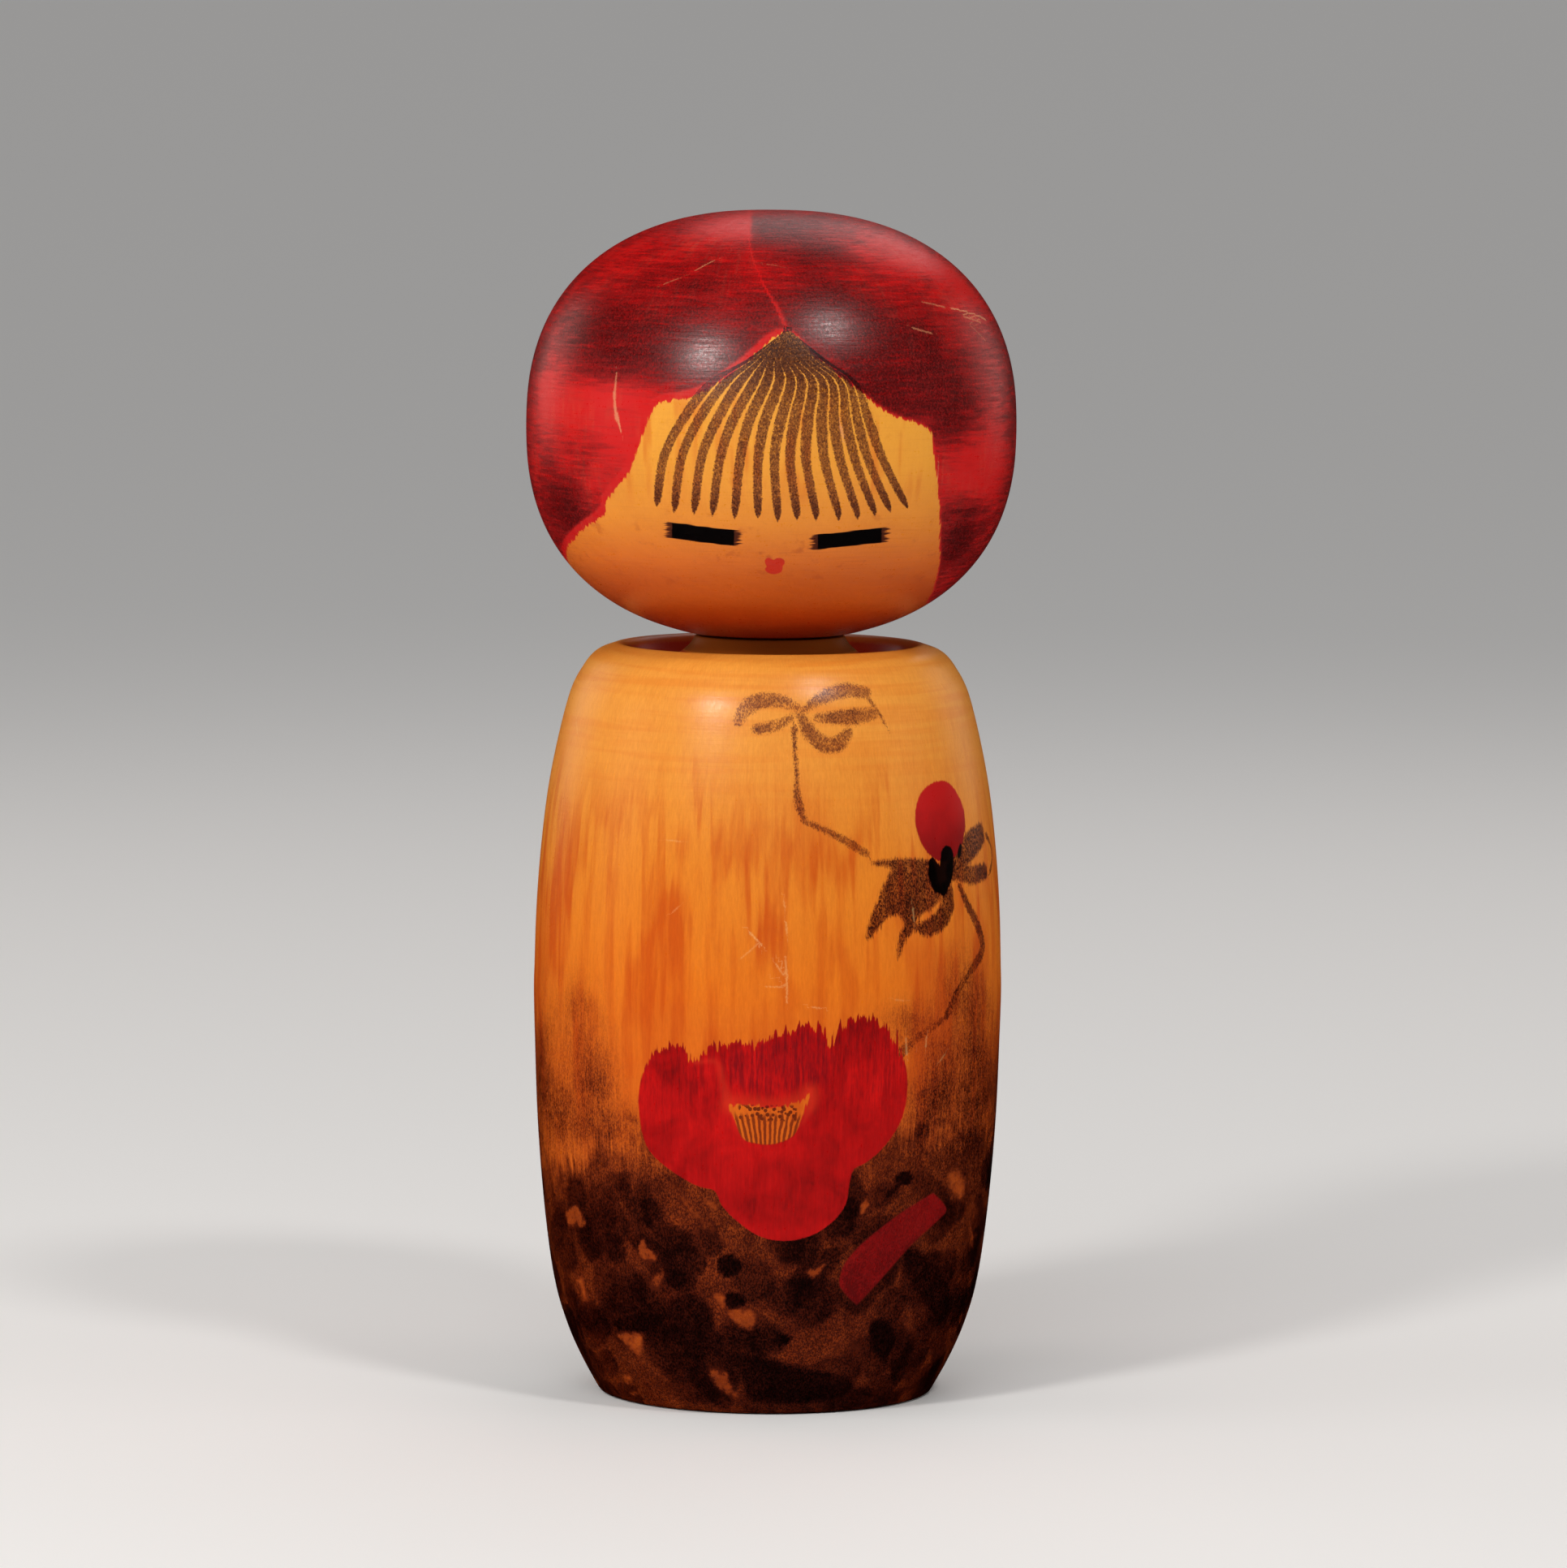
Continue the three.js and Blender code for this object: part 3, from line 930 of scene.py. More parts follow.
LEAF = [
    (26, 141.2), (31, 141.7), (38, 141.4), (41.6, 140), (42.6, 135.4), (44, 131.6), (41.2, 129),
    (37.8, 126.8), (36.4, 123.4), (34.2, 120.6), (32.8, 117), (32.9, 121.4), (34.2, 126), (32.4, 128),
    (29.4, 126.8), (27.4, 124.4), (25, 122.2), (25.6, 126.4), (27.3, 131.4), (29.8, 136.8), (31, 139.4),
]
# Bare wood showing through the ink at the foot: [front-view outline, softness, how bare].
GAPS = [
    ([(-51, 48.6), (-48.3, 51.4), (-46.4, 49), (-45.8, 46.2), (-50, 45.2)], 1.0, 1.0),
    (
        [
            (-30.6, 45.4), (-29.2, 43), (-27.4, 41), (-28, 39.4), (-31, 39.6), (-32.2, 41.4),
            (-31.9, 43.6),
        ],
        0.6,
        1.0,
    ),
    (
        [
            (-26.6, 38.6), (-24.8, 37), (-25.4, 34.6), (-27.1, 32.4), (-28.9, 32.6), (-29.2, 34.1),
            (-27.8, 36.4),
        ],
        1.1,
        0.8,
    ),
    ([(-13.4, 32), (-10.9, 32.6), (-9.8, 30.6), (-10.5, 28.6), (-12.2, 29.8)], 0.6, 0.95),
    ([(-9.8, 27.6), (-7.1, 28.6), (-2.8, 28), (-2, 25.7), (-3.6, 22.8), (-7.1, 24.2)], 0.7, 1.0),
    ([(9, 38.4), (12.2, 39.1), (15.2, 40.4), (14, 38), (12.2, 36.6), (10, 37.5)], 0.6, 1.0),
    ([(-37.8, 18.6), (-34.5, 20), (-31.6, 20), (-30.9, 17.4), (-31.4, 14), (-33.8, 15.4)], 0.8, 1.0),
    (
        [
            (-14.2, 11.8), (-11.2, 12.4), (-9, 10.8), (-8.2, 7.8), (-6, 4.4), (-7, 3.8), (-10.5, 5.6),
            (-13.4, 8.6),
        ],
        0.9,
        0.9,
    ),
    ([(45.6, 59.4), (47.6, 61.6), (49.9, 59.3), (50.6, 55.5), (49.1, 52.9), (47.4, 55.4)], 1.2, 1.0),
    ([(23.6, 54.8), (25.3, 56.4), (26, 54.2), (24.2, 52.2)], 0.5, 0.95),
    ([(42.6, 42), (44.9, 42.6), (46.8, 40.5), (46, 39), (43.5, 40)], 1.0, 0.45),
    ([(-48.2, 31.6), (-46.2, 32.8), (-45.7, 29), (-45, 26), (-46.6, 27), (-47, 29.5)], 0.8, 0.8),
    ([(-28.2, 52), (-26.7, 49.6), (-27.5, 48.6), (-28.6, 49.8)], 0.5, 0.7),
    ([(-15.6, 56.2), (-13.2, 56.2), (-12, 54.2), (-13.3, 53.6), (-14.7, 54.8)], 0.5, 0.8),
    ([(-36.1, 7.2), (-34.5, 8.5), (-33.7, 6.4), (-35.3, 5)], 0.7, 0.8),
    ([(-34.6, 3.1), (-31.8, 4.1), (-31.4, 2.8), (-33.6, 1.8)], 0.5, 0.7),
    ([(33, 22.4), (37.3, 23.4), (39.3, 20.7), (38.1, 16.8), (34.6, 18.2)], 1.8, 0.4),
    ([(15.6, 15), (18.5, 19.5), (23.6, 19.9), (25, 16.6), (20.6, 13)], 1.8, 0.34),
    (
        [
            (-25, 59.6), (-22, 59.4), (-18, 54.4), (-13.6, 49.4), (-8, 45.6), (-7, 43.8), (-11.4, 45.2),
            (-16, 49.4), (-20.6, 54.6),
        ],
        0.8,
        0.55,
    ),
    ([(-1.6, 45), (5.3, 44.2), (12, 42.4), (10, 39.4), (2.5, 39.6), (-2.6, 41.2)], 2.2, 0.3),
    ([(51, 50), (53.4, 52), (54.6, 44), (53, 38), (51.4, 43)], 1.4, 0.5),
    ([(22, 58), (30, 62), (36, 67), (40, 76), (36, 77), (30, 69), (22.6, 63)], 2.4, 0.35),
    ([(-52, 68), (-44, 69), (-36, 66), (-34, 62), (-42, 62.6), (-52, 62)], 2.6, 0.4),
]
# The blackest dabs, in the same way.
BLACK_DABS = [
    ([(-11.8, 41.8), (-8.5, 42.6), (-5.6, 40.6), (-6.2, 37.6), (-9.8, 36.5), (-12.1, 38.4)], 0.8, 0.97),
    ([(-10.5, 31.3), (-8.5, 33), (-4.8, 31.6), (-5.2, 29.2), (-9.1, 28.4)], 0.7, 0.97),
    ([(-31.9, 55), (-29.8, 54.5), (-28.4, 50.9), (-28.8, 48.2), (-30.6, 49.1)], 0.8, 0.92),
    ([(32.6, 61.8), (35.6, 63), (37.3, 60.6), (35.3, 58.8), (32.6, 59.6)], 0.6, 0.97),
    ([(29.8, 56.5), (31.1, 59), (33.9, 59.1), (32.9, 57.3), (30.6, 55.6)], 0.6, 0.92),
    ([(5, 35.7), (8.7, 37.2), (12.4, 35.9), (11.6, 33.2), (7.2, 33)], 1.0, 0.95),
    (
        [(-38.9, 22.2), (-34.1, 25.4), (-27.6, 26.8), (-24.8, 24), (-29.2, 20.4), (-36.4, 19.8)],
        1.0,
        0.95,
    ),
    ([(25.9, 22.4), (28.9, 25.5), (32.6, 22.5), (33.4, 17.1), (29.7, 12.6), (26.7, 16.4)], 1.4, 0.95),
    ([(1.6, 21.3), (4.7, 22.2), (7, 20.5), (4.7, 18.5), (1.6, 18.9)], 1.0, 0.95),
    ([(-26, 30), (-18, 33), (-12, 26), (-14, 17), (-22, 16), (-28, 22)], 2.4, 0.86),
    ([(36, 44), (44, 38), (48, 28), (44, 20), (40, 26), (34, 36)], 2.6, 0.88),
    ([(-8, 18), (8, 14), (22, 10), (20, 3), (-2, 2), (-6, 8)], 2.4, 0.9),
    ([(-24, 46), (-18, 46), (-14, 41), (-16, 36), (-22, 39)], 2.2, 0.8),
]
# Loose washes above the band: [x, z, reach across, reach up, strength].
WASHES = [
    (-43, 84, 7, 8, 0.26), (-50, 74, 12, 10, 0.32), (-38, 72, 10, 7, 0.24), (-48, 98, 10, 11, 0.17),
    (45, 84, 8, 10, 0.34), (53, 94, 9, 14, 0.36), (52, 76, 10, 10, 0.34), (40, 77, 7, 8, 0.32),
    (37, 100, 10, 6, 0.18), (49, 109, 8, 8, 0.2), (-57, 88, 7, 16, 0.2),
]
BACK_WASHES = [
    (84, 72, 20, 20, 0.5), (112, 86, 20, 16, 0.4), (150, 76, 26, 12, 0.45), (-84, 70, 16, 20, 0.4),
    (-112, 82, 24, 14, 0.42), (-150, 90, 20, 12, 0.3), (180, 84, 16, 14, 0.35),
]
BODY_SCUFFS = [
    ([(-4.6, 124.4), (-1.4, 121)], (0.5, 0.3), 0.7),
    ([(-2.2, 121.6), (-6.8, 117.6)], (0.3, 0.2), 0.4),
    ([(4.6, 127), (4.8, 123.6)], (0.35, 0.3), 0.6),
    ([(2, 116.6), (4.2, 113.4)], (0.4, 0.3), 0.6),
    ([(4.4, 118.6), (4.9, 112), (4.9, 106.2)], (0.2, 0.5, 0.3), 0.6),
    ([(-0.6, 110.8), (5.2, 110.6)], (0.25, 0.25), 0.5),
    ([(11.2, 105.6), (13.4, 105.2)], (0.35, 0.35), 0.5),
    ([(34.9, 97), (35.2, 92.2)], (0.35, 0.5), 0.5),
    ([(40.2, 96.6), (40, 94)], (0.5, 0.4), 0.5),
    ([(43.6, 89.8), (45, 91.6)], (0.4, 0.3), 0.4),
    ([(-49, 173.4), (-48.6, 170.6)], (0.5, 0.3), 0.5),
    ([(-25.6, 146.6), (-22, 146.4)], (0.3, 0.3), 0.45),
    ([(4, 132.4), (4.2, 130.6)], (0.4, 0.4), 0.5),
    ([(-24, 128.6), (-22.4, 130)], (0.3, 0.3), 0.4),
    ([(36.4, 129.6), (36.8, 126)], (0.4, 0.3), 0.6),
    ([(32, 106.6), (34.4, 106.2)], (0.3, 0.3), 0.4),
]
# The band is laid by a seeded pattern of dabs; sizes in mm, turns in radians.
BAND_SEED = 23
UNDERCOAT = 0.50
DAB_COUNT = 260
DAB_TOP = 62
DAB_HALF_LENGTH = (5, 10)
DAB_HALF_WIDTH = (3, 6)
DAB_TURN = (-1.2, 0.9)
DAB_INK = 0.46
DAB_SQUARENESS = 2.6
DAB_SOFT_EDGE = (1.1, 0.85)
# Small bare gaps round the sides and back, past this many degrees from the front.
SIDES_FROM = 64
GAP_COUNT = 38
GAP_HEIGHTS = (2, 58)
GAP_HALF_LENGTH = (2, 4.4)
GAP_HALF_WIDTH = (1.2, 2.4)
GAP_TURN = (-1.6, 1.6)
GAP_BARENESS = (0.4, 1)
GAP_SOFTENING = 1.7
STAMEN_FOOT = (0.3, 71.8)
STAMEN_SPACING = 1.18
STAMEN_LEAN = 0.04
# Added to the count of stamens to keep it positive.
STAMEN_SHIFT = 40.0
# Places further than this from the stamens' foot or the rim, or from the band's edge, count as that far.
PLACE_LIMIT = 40
BAND_LIMIT = 60
BODY_SPAN = (20, 192)
BODY_TONES = (
    (0.0, rgb(200, 90, 13)),
    (0.35, rgb(216, 100, 15)),
    (0.55, rgb(223, 115, 21)),
    (0.8, rgb(224, 130, 34)),
    (1.0, rgb(232, 152, 58)),
)
FIBRE_TINTS = ((0.3, (1.04, 1.05, 1.06, 1)), (0.75, (0.93, 0.88, 0.82, 1)))
BODY_HEART = (30, -8)
HONEY = rgb(222, 122, 34)
STREAK_ORANGE = rgb(196, 74, 4)
PETAL_TONES = (
    (0.0, rgb(206, 8, 6)),
    (0.45, rgb(176, 1, 2)),
    (0.75, rgb(152, 0, 1)),
    (1.0, rgb(120, 0, 2)),
)
PETAL_FIBRE = rgb(96, 2, 8)
PETAL_SHADE = rgb(104, 6, 20)
PETAL_THIN = rgb(214, 50, 20)
SEAM_RED = rgb(212, 44, 22)
BUD_REDS = (rgb(184, 10, 10), rgb(134, 4, 6))
DAB_REDS = (rgb(138, 2, 3), rgb(96, 1, 2))
BODY_SCRATCH = rgb(240, 190, 122)
LIP_BROWN = rgb(186, 88, 24)
DISH_RED = rgb(198, 42, 18)
# The boss's brown is painted shade: bare wood darkened where the head above shades it.
BOSS_PAINTED_SHADE = rgb(132, 56, 14)
BODY_GRAIN_DEPTH = 0.018
BODY_LATHE_DEPTH = 0.022
# The wax shines less on the inked foot than on the shoulder.
SHINE_HEIGHTS = (110, 172)
SHINE = (0.18, 0.42)
# The upper edge of the ink band: [degrees round, height].
BAND_EDGE = (
    (-180, 66), (-130, 72), (-90, 62), (-62, 58), (-45, 68), (-28, 68), (0, 60), (30, 72), (48, 72),
    (60, 72), (90, 64), (140, 70), (180, 66)
)


def dab(body, spot, half_length, half_width, turn):
    """The density of one short stroke of a flat brush, heavier towards the end where it was lifted."""
    offset = body.flat - spot
    once_round = 2 * math.pi * body.widest
    across = (offset[:, 0] + once_round / 2) % once_round - once_round / 2
    c, s = math.cos(turn), math.sin(turn)
    u = (c * across + s * offset[:, 1]) / half_length
    v = (c * offset[:, 1] - s * across) / half_width
    reach = (np.abs(u) ** DAB_SQUARENESS + np.abs(v) ** DAB_SQUARENESS) ** (1 / DAB_SQUARENESS)
    return ramp(reach, *DAB_SOFT_EDGE) * (0.7 + 0.3 * np.clip(u, -1, 1))


def dabbed_band(body):
    """The density of the band at the foot, from many overlapping dabs."""
    random = np.random.default_rng(BAND_SEED)
    foot = body.skin[1][0]

    def anywhere(low, high):
        return random.uniform(-1, 1) * math.pi * body.widest, foot + random.uniform(low, high)

    passed = np.full(len(body.xyz), UNDERCOAT)
    for _ in range(DAB_COUNT):
        spot = anywhere(-2, DAB_TOP)
        shape = [random.uniform(*span) for span in (DAB_HALF_LENGTH, DAB_HALF_WIDTH, DAB_TURN)]
        passed *= 1 - DAB_INK * dab(body, spot, *shape)
    density = 1 - passed
    sides = np.abs(body.angle) > math.radians(SIDES_FROM)
    bare = np.zeros(len(density))
    for _ in range(GAP_COUNT):
        spot = anywhere(*GAP_HEIGHTS)
        shape = [random.uniform(*span) for span in (GAP_HALF_LENGTH, GAP_HALF_WIDTH, GAP_TURN)]
        np.maximum(bare, sides * random.uniform(*GAP_BARENESS) * dab(body, spot, *shape), out=bare)
    softer = [(seen, GAP_SOFTENING * soft, strength) for seen, soft, strength in GAPS]
    np.maximum(bare, body.lobes(softer), out=bare)
    np.maximum(density, body.lobes(BLACK_DABS), out=density)
    return density, bare


def paint_body(body):
    for name, outline in PAINTED_SHAPES.items():
        body.field(name, body.painted(outline))
    body.field("petal_dark", body.lobes(PETAL_DARKS))
    body.front_lines("seam", PETAL_SEAMS)
    inks = {name: np.full(len(body.flat), -FIELD_REACH) for name in ("pale_ink", "dark_ink", "black_ink")}
    for name, path, widths in INK_STROKES:
        inks[name] = np.maximum(inks[name], body.stroke(path, widths))
    inks["dark_ink"] = np.maximum(inks["dark_ink"], body.painted(LEAF))
    for name, values in inks.items():
        body.field(name, values)
    body.front_lines("ink", INK_LINES)
    body.front_lines("scuff", BODY_SCUFFS)

    off_foot = np.clip(body.flat - body.unrolled([STAMEN_FOOT])[0], -PLACE_LIMIT, PLACE_LIMIT)
    body.field("stamen_x", off_foot[:, 0])
    body.field("stamen_z", off_foot[:, 1])

    density, bare = dabbed_band(body)
    body.field("dab_ink", density)
    body.field("bare", bare)
    body.field("wash", body.spots(WASHES) + body.cloud(BACK_WASHES))
    top = np.interp(np.degrees(body.angle), *zip(*BAND_EDGE))
    body.field("band", np.clip(top - body.height, -BAND_LIMIT, BAND_LIMIT))
    body.field("height", body.height)
    wide = body.rows[:, 0] > body.widest / 2
    rim = np.argmax(np.where(wide, body.rows[:, 1], 0))
    body.field("past_rim", np.clip(body.length - body.row_length[rim], -PLACE_LIMIT, PLACE_LIMIT))


def streaked_wood(n, ring, mm, height, fibre):
    """Honey stain with long brush streaks of a deeper orange down the middle of the body."""
    base = n.colours(n.step(height, *BODY_SPAN), *BODY_TONES)
    wood, pores = turned_wood(n, mm, base, BODY_HEART)
    layers = n.noise(mm, (0.02, 0.02, 0.42), 1, 3, 0.6, 0.4)
    layers = n.times(n.step(layers, 0.42, 0.64), n.step(height, 140, 176, 0.08, 0.42))
    wood = n.blend(layers, wood, HONEY)
    broad = n.noise(ring, (GIRTH, GIRTH, 0.30), 0.09, 2, 0.5)
    middling = n.noise(ring, (GIRTH, GIRTH, 0.10), 0.26, 2, 0.5)
    narrow = n.noise(ring, (GIRTH, GIRTH, 0.06), 0.62, 2, 0.5)
    thin = n.noise(ring, (GIRTH, GIRTH, 0.06), 1.3, 2, 0.6)
    tops = n.plus(height, n.swing(broad, 90), n.swing(middling, 60), n.swing(narrow, 26))
    zone = n.times(
        n.step(tops, 176, 146), n.step(n.plus(height, n.swing(middling, 40)), 62, 104, 0.3, 1.0)
    )
    streaks = n.plus(
        n.times(n.step(broad, 0.42, 0.60), 0.5),
        n.times(n.step(middling, 0.45, 0.60), 0.42),
        n.times(n.step(narrow, 0.46, 0.64), 0.16),
        n.swing(thin, 0.16),
    )
    amount = n.times(streaks, n.plus(0.12, n.times(zone, 0.88)))
    wood = n.blend(n.step(amount, 0.0, 1.0, 0.0, 0.85), wood, STREAK_ORANGE)
    return n.under(wood, n.colours(fibre, *FIBRE_TINTS)), pores


def petals(n, height, mottle, bristle, fibre):
    """Red dye: smooth at the foot of the flower, with dark fibres showing in its upper half."""
    tone = n.plus(0.46, n.times(n.field("petal_dark"), 0.45), n.swing(mottle, 1.3))
    red = n.colours(n.plus(tone, n.swing(fibre, 0.6), n.swing(bristle, 0.6)), *PETAL_TONES)
    fibres = n.step(n.plus(n.times(bristle, 0.7), n.times(fibre, 0.5)), 0.52, 0.76)
    red = n.blend(n.times(fibres, n.step(height, 70, 90), 0.42), red, PETAL_FIBRE)
    behind = n.step(n.field("back_petal"), -2.0, 2.5)
    shade = n.times(behind, n.step(n.plus(bristle, n.swing(fibre, 0.6)), 0.28, 0.7))
    red = n.blend(n.times(shade, 0.42), red, PETAL_SHADE)
    near_heart = n.step(n.plus(n.field("heart"), n.swing(bristle, 2)), -4.0, 0.4)
    thin = n.times(near_heart, n.step(height, 77, 80.5))
    red = n.blend(n.times(thin, 0.5), red, PETAL_THIN)
    return n.blend(n.times(n.line("seam", n.swing(fibre, 1.6), 0.9), 0.5), red, SEAM_RED)


def stamens(n, mm, bristle, speckle):
    """Ink thickness of the stamens: upright lines leaning outwards, with dotted tips."""
    x, z = n.field("stamen_x"), n.field("stamen_z")
    aside, heart = n.math("ABSOLUTE", x), n.field("heart")
    lean = n.plus(1.0, n.times(z, STAMEN_LEAN))
    wobble = n.swing(n.noise(mm, (0.5, 0.5, 0.3), 1, 1), 0.7)
    count = n.math("DIVIDE", n.plus(x, wobble), n.times(lean, STAMEN_SPACING))
    off = n.math("ABSOLUTE", n.less(n.math("FRACT", n.plus(count, STAMEN_SHIFT)), 0.5))
    lines = n.step(n.plus(n.times(off, STAMEN_SPACING), n.swing(speckle, 0.3)), 0.40, 0.2)
    stalks = n.times(lines, n.step(n.plus(z, n.swing(bristle, 4)), 7.4, 5.6))
    cells = n.add("ShaderNodeTexVoronoi")
    cells.inputs["Scale"].default_value = 0.95
    n.put(mm, cells.inputs["Vector"])
    dots = n.step(n.plus(cells.outputs["Distance"], n.swing(speckle, 0.2)), 0.54, 0.42)
    tips = n.times(dots, n.step(z, 4.6, 5.4), n.step(z, 9.4, 8.4), n.step(aside, 7.8, 7.0))
    inside = n.times(n.step(heart, -0.5, 0.3), n.step(aside, 8.8, 8.0))
    return n.most(n.times(stalks, inside, 0.29), n.times(tips, n.step(heart, -2.0, -0.4), 0.38))


def inked(n, mm, bristle, fibre, speckle, mottle):
    """Ink thickness over the body: the bow, stems, leaves, the band at the foot and the washes above it."""
    flow = n.noise(mm, (0.22, 0.22, 0.22), 1, 2, 0.6)
    beads = n.step(speckle, 0.40, 0.62)
    pale = n.plus(0.13, n.times(beads, 0.26), n.swing(flow, 0.4))
    pale = n.times(n.edge("pale_ink", n.swing(speckle, 2.0), 0.7), pale)
    thin = n.plus(0.45, n.times(beads, 1.0), n.swing(flow, 1.0))
    thin = n.times(n.line("ink", n.swing(speckle, 1.5), 0.4), thin)
    dark = n.plus(0.24, n.times(beads, 0.52), n.swing(flow, 0.5))
    dark = n.times(n.edge("dark_ink", n.swing(fibre, 2.8), 0.7), dark)
    strokes = n.most(pale, thin, dark)
    below = n.plus(n.field("band"), n.swing(bristle, 16), n.swing(mottle, 18), n.swing(fibre, 6))
    ragged = n.noise(mm, (0.55, 0.55, 0.6), 1, 3, 0.6)
    bare = n.step(n.plus(n.field("bare"), n.swing(ragged, 1.7), n.swing(speckle, 1.6)), 0.30, 1.05)
    dabs = n.plus(n.field("dab_ink"), n.swing(mottle, 0.4), n.swing(ragged, 0.3), n.swing(beads, 0.34))
    band = n.times(n.step(below, -9, 9), dabs, n.less(1.0, n.times(bare, 0.72)))
    streaky = n.plus(n.times(bristle, 0.5), n.times(fibre, 0.6), n.swing(mottle, 0.7))
    streaky = n.plus(0.4, n.times(n.step(streaky, 0.30, 0.80), 0.9))
    wash = n.times(n.field("wash"), streaky, n.plus(1.0, n.swing(beads, 0.9)))
    return n.most(strokes, n.plus(band, n.times(wash, 0.5)), wash)


def body_material():
    n = Nodes("body_wood")
    ring = n.vector_field("ring")
    mm = n.place()
    height = n.field("height")
    bristle = n.noise(ring, (GIRTH, GIRTH, 0.07), 1.15, 2, 0.65)
    fibre = n.noise(ring, (GIRTH, GIRTH, 0.16), 2.4, 2, 0.65)
    speckle = n.noise(mm, (1, 1, 0.55), 2.8, 2, 0.75)
    mottle = n.noise(mm, (0.13, 0.13, 0.11), 1, 3, 0.6, 0.5)
    wood, pores = streaked_wood(n, ring, mm, height, fibre)

    colour = n.under(wood, ink_film(n, inked(n, mm, bristle, fibre, speckle, mottle)))

    # red dye and the drawing over it
    lifted = n.times(n.swing(bristle, 8.5), n.step(height, 86, 95))
    flower = n.edge("flower", n.plus(lifted, n.swing(fibre, 0.5)), 0.2)
    heart_edge = n.times(n.swing(bristle, 3.4), n.step(height, 77.5, 80))
    heart = n.edge("heart", n.plus(heart_edge, n.swing(fibre, 0.4)), 0.25)
    dyed = n.times(flower, n.less(1.0, heart))
    colour = n.blend(dyed, colour, petals(n, height, mottle, bristle, fibre))
    colour = n.under(colour, ink_film(n, stamens(n, mm, bristle, speckle)))
    bud_red = n.blend(n.step(n.plus(height, n.swing(mottle, 14)), 157, 142), *BUD_REDS)
    colour = n.blend(n.edge("bud", n.swing(fibre, 1.0), 0.2), colour, bud_red)
    dab_red = n.blend(n.step(n.plus(n.swing(mottle, 0.8), speckle), 0.3, 0.7), *DAB_REDS)
    colour = n.blend(n.times(n.edge("red_dab", n.swing(speckle, 0.9), 0.3), 0.94), colour, dab_red)
    blackest = n.times(n.edge("black_ink", n.swing(fibre, 0.8), 0.2), 0.95)
    colour = n.under(colour, ink_film(n, blackest))
    scuff = n.times(n.line("scuff", n.swing(speckle, 1.2), 0.25), 0.55)
    colour = n.blend(scuff, colour, BODY_SCRATCH)

    # past the rim the lip is brown and the dish is washed red; the boss under the head is bare wood
    # darkened to brown as painted shade from the head above it
    past = n.plus(n.field("past_rim"), n.swing(fibre, 0.8))
    lip = n.times(n.step(past, -1.0, 1.5), n.step(past, 4.0, 2.6))
    colour = n.blend(n.times(lip, 0.5), colour, LIP_BROWN)
    dish = n.times(n.step(past, 2.4, 4.4), n.step(past, 20.0, 19.2), 0.92)
    colour = n.blend(dish, colour, DISH_RED)
    colour = n.blend(n.times(n.step(past, 19.4, 20.2), 0.8), colour, BOSS_PAINTED_SHADE)

    grain = n.noise(mm, (1.2, 1.2, 1.0), 1, 2, 0.6)
    lathe = n.noise(ring, (2, 2, 1.2), 1, 2, 0.6)
    gloss = n.plus(0.22, n.times(fibre, 0.12), n.times(pores, 0.08), n.swing(grain, 0.16))
    relief = n.bump(lathe, BODY_LATHE_DEPTH, n.bump(n.times(scuff, -1.0), SCRATCH_DEPTH))
    relief = n.bump(grain, BODY_GRAIN_DEPTH, relief)
    set_finish(n, colour, n.most(gloss, LEAST_ROUGHNESS), relief, n.step(height, *SHINE_HEIGHTS, *SHINE))
    return n.material


# ---------------------------------------------------------------- the dowel

DOWEL_TONES = ((0.2, rgb(226, 190, 134)), (0.8, rgb(186, 138, 80)))
DOWEL_GRAIN_DEPTH = 0.08
DOWEL_PORE_DEPTH = 0.06
DOWEL_SHINE = 0.3


def dowel_material():
    n = Nodes("dowel_wood")
    mm = n.place()
    grain = n.noise(mm, (1.4, 1.4, 0.06), 1, 4, 0.6)
    pores = n.noise(mm, (3, 3, 0.3), 1, 3, 0.6)
    colour = n.colours(n.plus(n.times(grain, 0.8), n.times(pores, 0.3)), *DOWEL_TONES)
    relief = n.bump(pores, DOWEL_PORE_DEPTH, n.bump(grain, DOWEL_GRAIN_DEPTH))
    set_finish(n, colour, n.plus(0.55, n.times(pores, 0.25)), relief, DOWEL_SHINE)
    return n.material


# ---------------------------------------------------------------- putting it together

# Spacing in mm: from row to row, and from column to column across the front and round the back.
ROW_SPACING = 0.84
FRONT_SPACING = 0.72
BACK_SPACING = 2.6
DOWEL_SPACING = 1.0
# How much a corner is eased, in mm.
EDGE_EASE = 0.35
# How many degrees to each side count as the front, and the radius that the spacing is measured at.
BODY_FRONT = (80, 60)
HEAD_FRONT = (82, 62.6)
DOWEL_FRONT = (180, 8)


def make_piece(name, node, body_name, angles, paint, material):
    piece = Turned(name, turned_rows(cad_outline(node), ROW_SPACING, EDGE_EASE), angles)
    piece.ring_field("ring")
    if paint:
        paint(piece)
    piece.mesh.materials.append(material)
    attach(piece.object, body_name)
    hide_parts(node)
    return piece


body_columns = columns(*BODY_FRONT, FRONT_SPACING, BACK_SPACING)
head_columns = columns(*HEAD_FRONT, FRONT_SPACING, BACK_SPACING)
dowel_columns = columns(*DOWEL_FRONT, DOWEL_SPACING, DOWEL_SPACING)[:-1]
make_piece("painted_body", "body", "base", body_columns, paint_body, body_material())
make_piece("painted_head", "head", "head", head_columns, paint_head, head_material())
make_piece("turned_dowel", "neck_dowel", "dowel", dowel_columns, None, dowel_material())

# ---------------------------------------------------------------- floor, light and camera

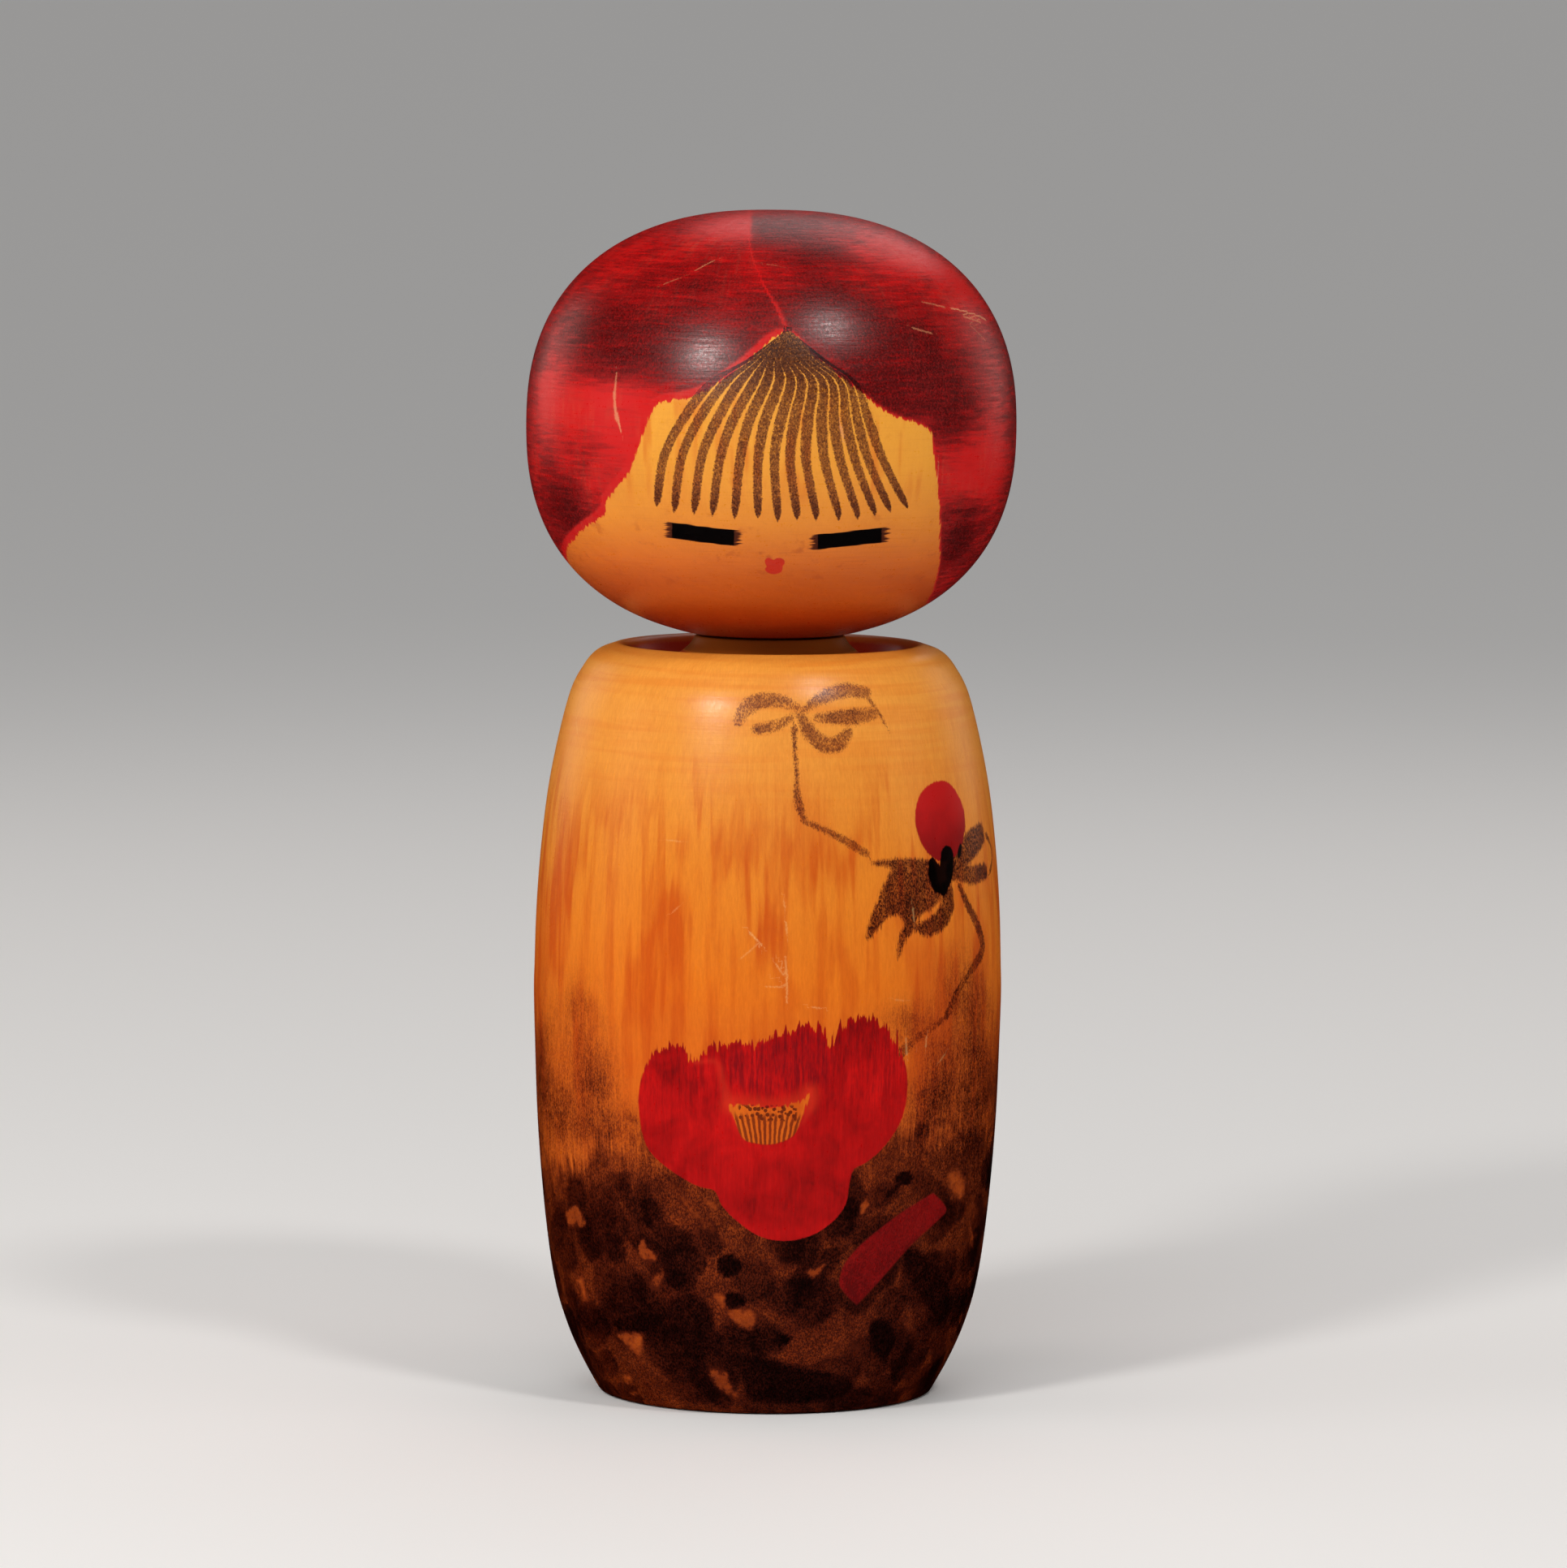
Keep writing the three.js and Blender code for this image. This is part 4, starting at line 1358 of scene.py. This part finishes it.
FLOOR_RADIUS = 160
FLOOR_SIDES = 96
FLOOR_DROP = 0.0003
FLOOR_COLOUR = (0.92, 0.915, 0.91, 1)
FLOOR_ROUGHNESS = 0.8
ROOM_COLOUR = (1.0, 0.985, 0.97, 1)
ROOM_STRENGTH = 0.28
SUN_DIRECTION = (-0.3, -1.0, 1.0)
SUN_SPREAD = 40
SUN_STRENGTH = 0.50
CAMERA_PLACE = (0.0023, -2.243, 0.363)
CAMERA_DIP = 5.27
CAMERA_ROLL = -0.40
LENS = 201.8
SENSOR_WIDTH = 36
CLIP = (0.05, 500)
SOFT_WHITE = (1.0, 0.98, 0.96)
WARM = (1.0, 0.92, 0.84)
# Each [name, place, target, width, watts, colour, whether the doll's wax reflects it].
LAMPS = [
    ("key", (-0.83, -1.23, 1.12), (0, 0, 0.22), 0.28, 10.5, (1.0, 0.97, 0.93), True),
    ("right_fill", (0.66, -0.92, 1.52), (0, 0, 0.24), 0.25, 7, (1.0, 0.97, 0.94), True),
    ("front_fill", (0.1, -2.6, 0.7), (0, 0, 0.15), 1.4, 2.4, SOFT_WHITE, False),
    ("left_fill", (-1.7, -0.3, 0.5), (0, 0, 0.15), 0.9, 6.5, SOFT_WHITE, False),
    ("right_side_fill", (1.7, -0.3, 0.5), (0, 0, 0.15), 0.9, 3.2, SOFT_WHITE, False),
    ("top_panel", (0.3, 1.4, 1.5), (0, 0, 0.3), 1.3, 3.4, (1.0, 0.94, 0.92), True),
    ("left_panel", (-1.35, 1.1, 0.6), (0, 0, 0.15), 1.0, 1.8, WARM, True),
    ("right_panel", (1.35, 1.1, 0.6), (0, 0, 0.15), 1.0, 1.4, WARM, True),
]


def make_floor():
    n = Nodes("studio_floor")
    n.put(FLOOR_COLOUR, n.shader.inputs["Base Color"])
    n.put(FLOOR_ROUGHNESS, n.shader.inputs["Roughness"])
    mesh = bpy.data.meshes.new("studio_floor")
    turns = np.linspace(0, 2 * math.pi, FLOOR_SIDES, endpoint=False)
    rim = [(FLOOR_RADIUS * math.cos(t), FLOOR_RADIUS * math.sin(t), -FLOOR_DROP) for t in turns]
    mesh.from_pydata(rim, [], [list(range(FLOOR_SIDES))])
    mesh.materials.append(n.material)
    floor = add_object("studio_floor", mesh)
    floor.visible_glossy = False


def aim(thing, backwards):
    """Turns a lamp to shine away from that direction."""
    thing.rotation_euler = (-Vector(backwards)).to_track_quat("-Z", "Y").to_euler()


def lamp(name, place, target, width, watts, colour, reflected):
    data = bpy.data.lights.new(name, "AREA")
    data.shape = "DISK"
    data.size = width
    data.energy = watts
    data.color = colour
    light = add_object(name, data)
    light.location = place
    light.visible_glossy = reflected
    aim(light, Vector(place) - Vector(target))


def make_sun():
    """Stands for the wide, even light of the room."""
    data = bpy.data.lights.new("room", "SUN")
    data.angle = math.radians(SUN_SPREAD)
    data.energy = SUN_STRENGTH
    light = add_object("room", data)
    light.visible_glossy = False
    aim(light, SUN_DIRECTION)


def make_world():
    world = bpy.data.worlds.new("studio")
    world.use_nodes = True
    background = world.node_tree.nodes["Background"]
    background.inputs["Color"].default_value = ROOM_COLOUR
    background.inputs["Strength"].default_value = ROOM_STRENGTH
    bpy.context.scene.world = world
    world.cycles_visibility.glossy = False


def make_camera():
    """The view is level with the head, from a long way off, looking a little down."""
    data = bpy.data.cameras.new("camera")
    data.sensor_width = SENSOR_WIDTH
    data.lens = LENS
    data.dof.use_dof = False
    data.clip_start, data.clip_end = CLIP
    camera = add_object("camera", data)
    camera.location = CAMERA_PLACE
    camera.rotation_euler = (math.radians(90 - CAMERA_DIP), math.radians(CAMERA_ROLL), 0)
    bpy.context.scene.camera = camera


make_floor()
make_world()
make_camera()
for settings in LAMPS:
    lamp(*settings)
make_sun()
bpy.context.scene.view_settings.view_transform = "Standard"
bpy.context.scene.view_settings.look = "None"
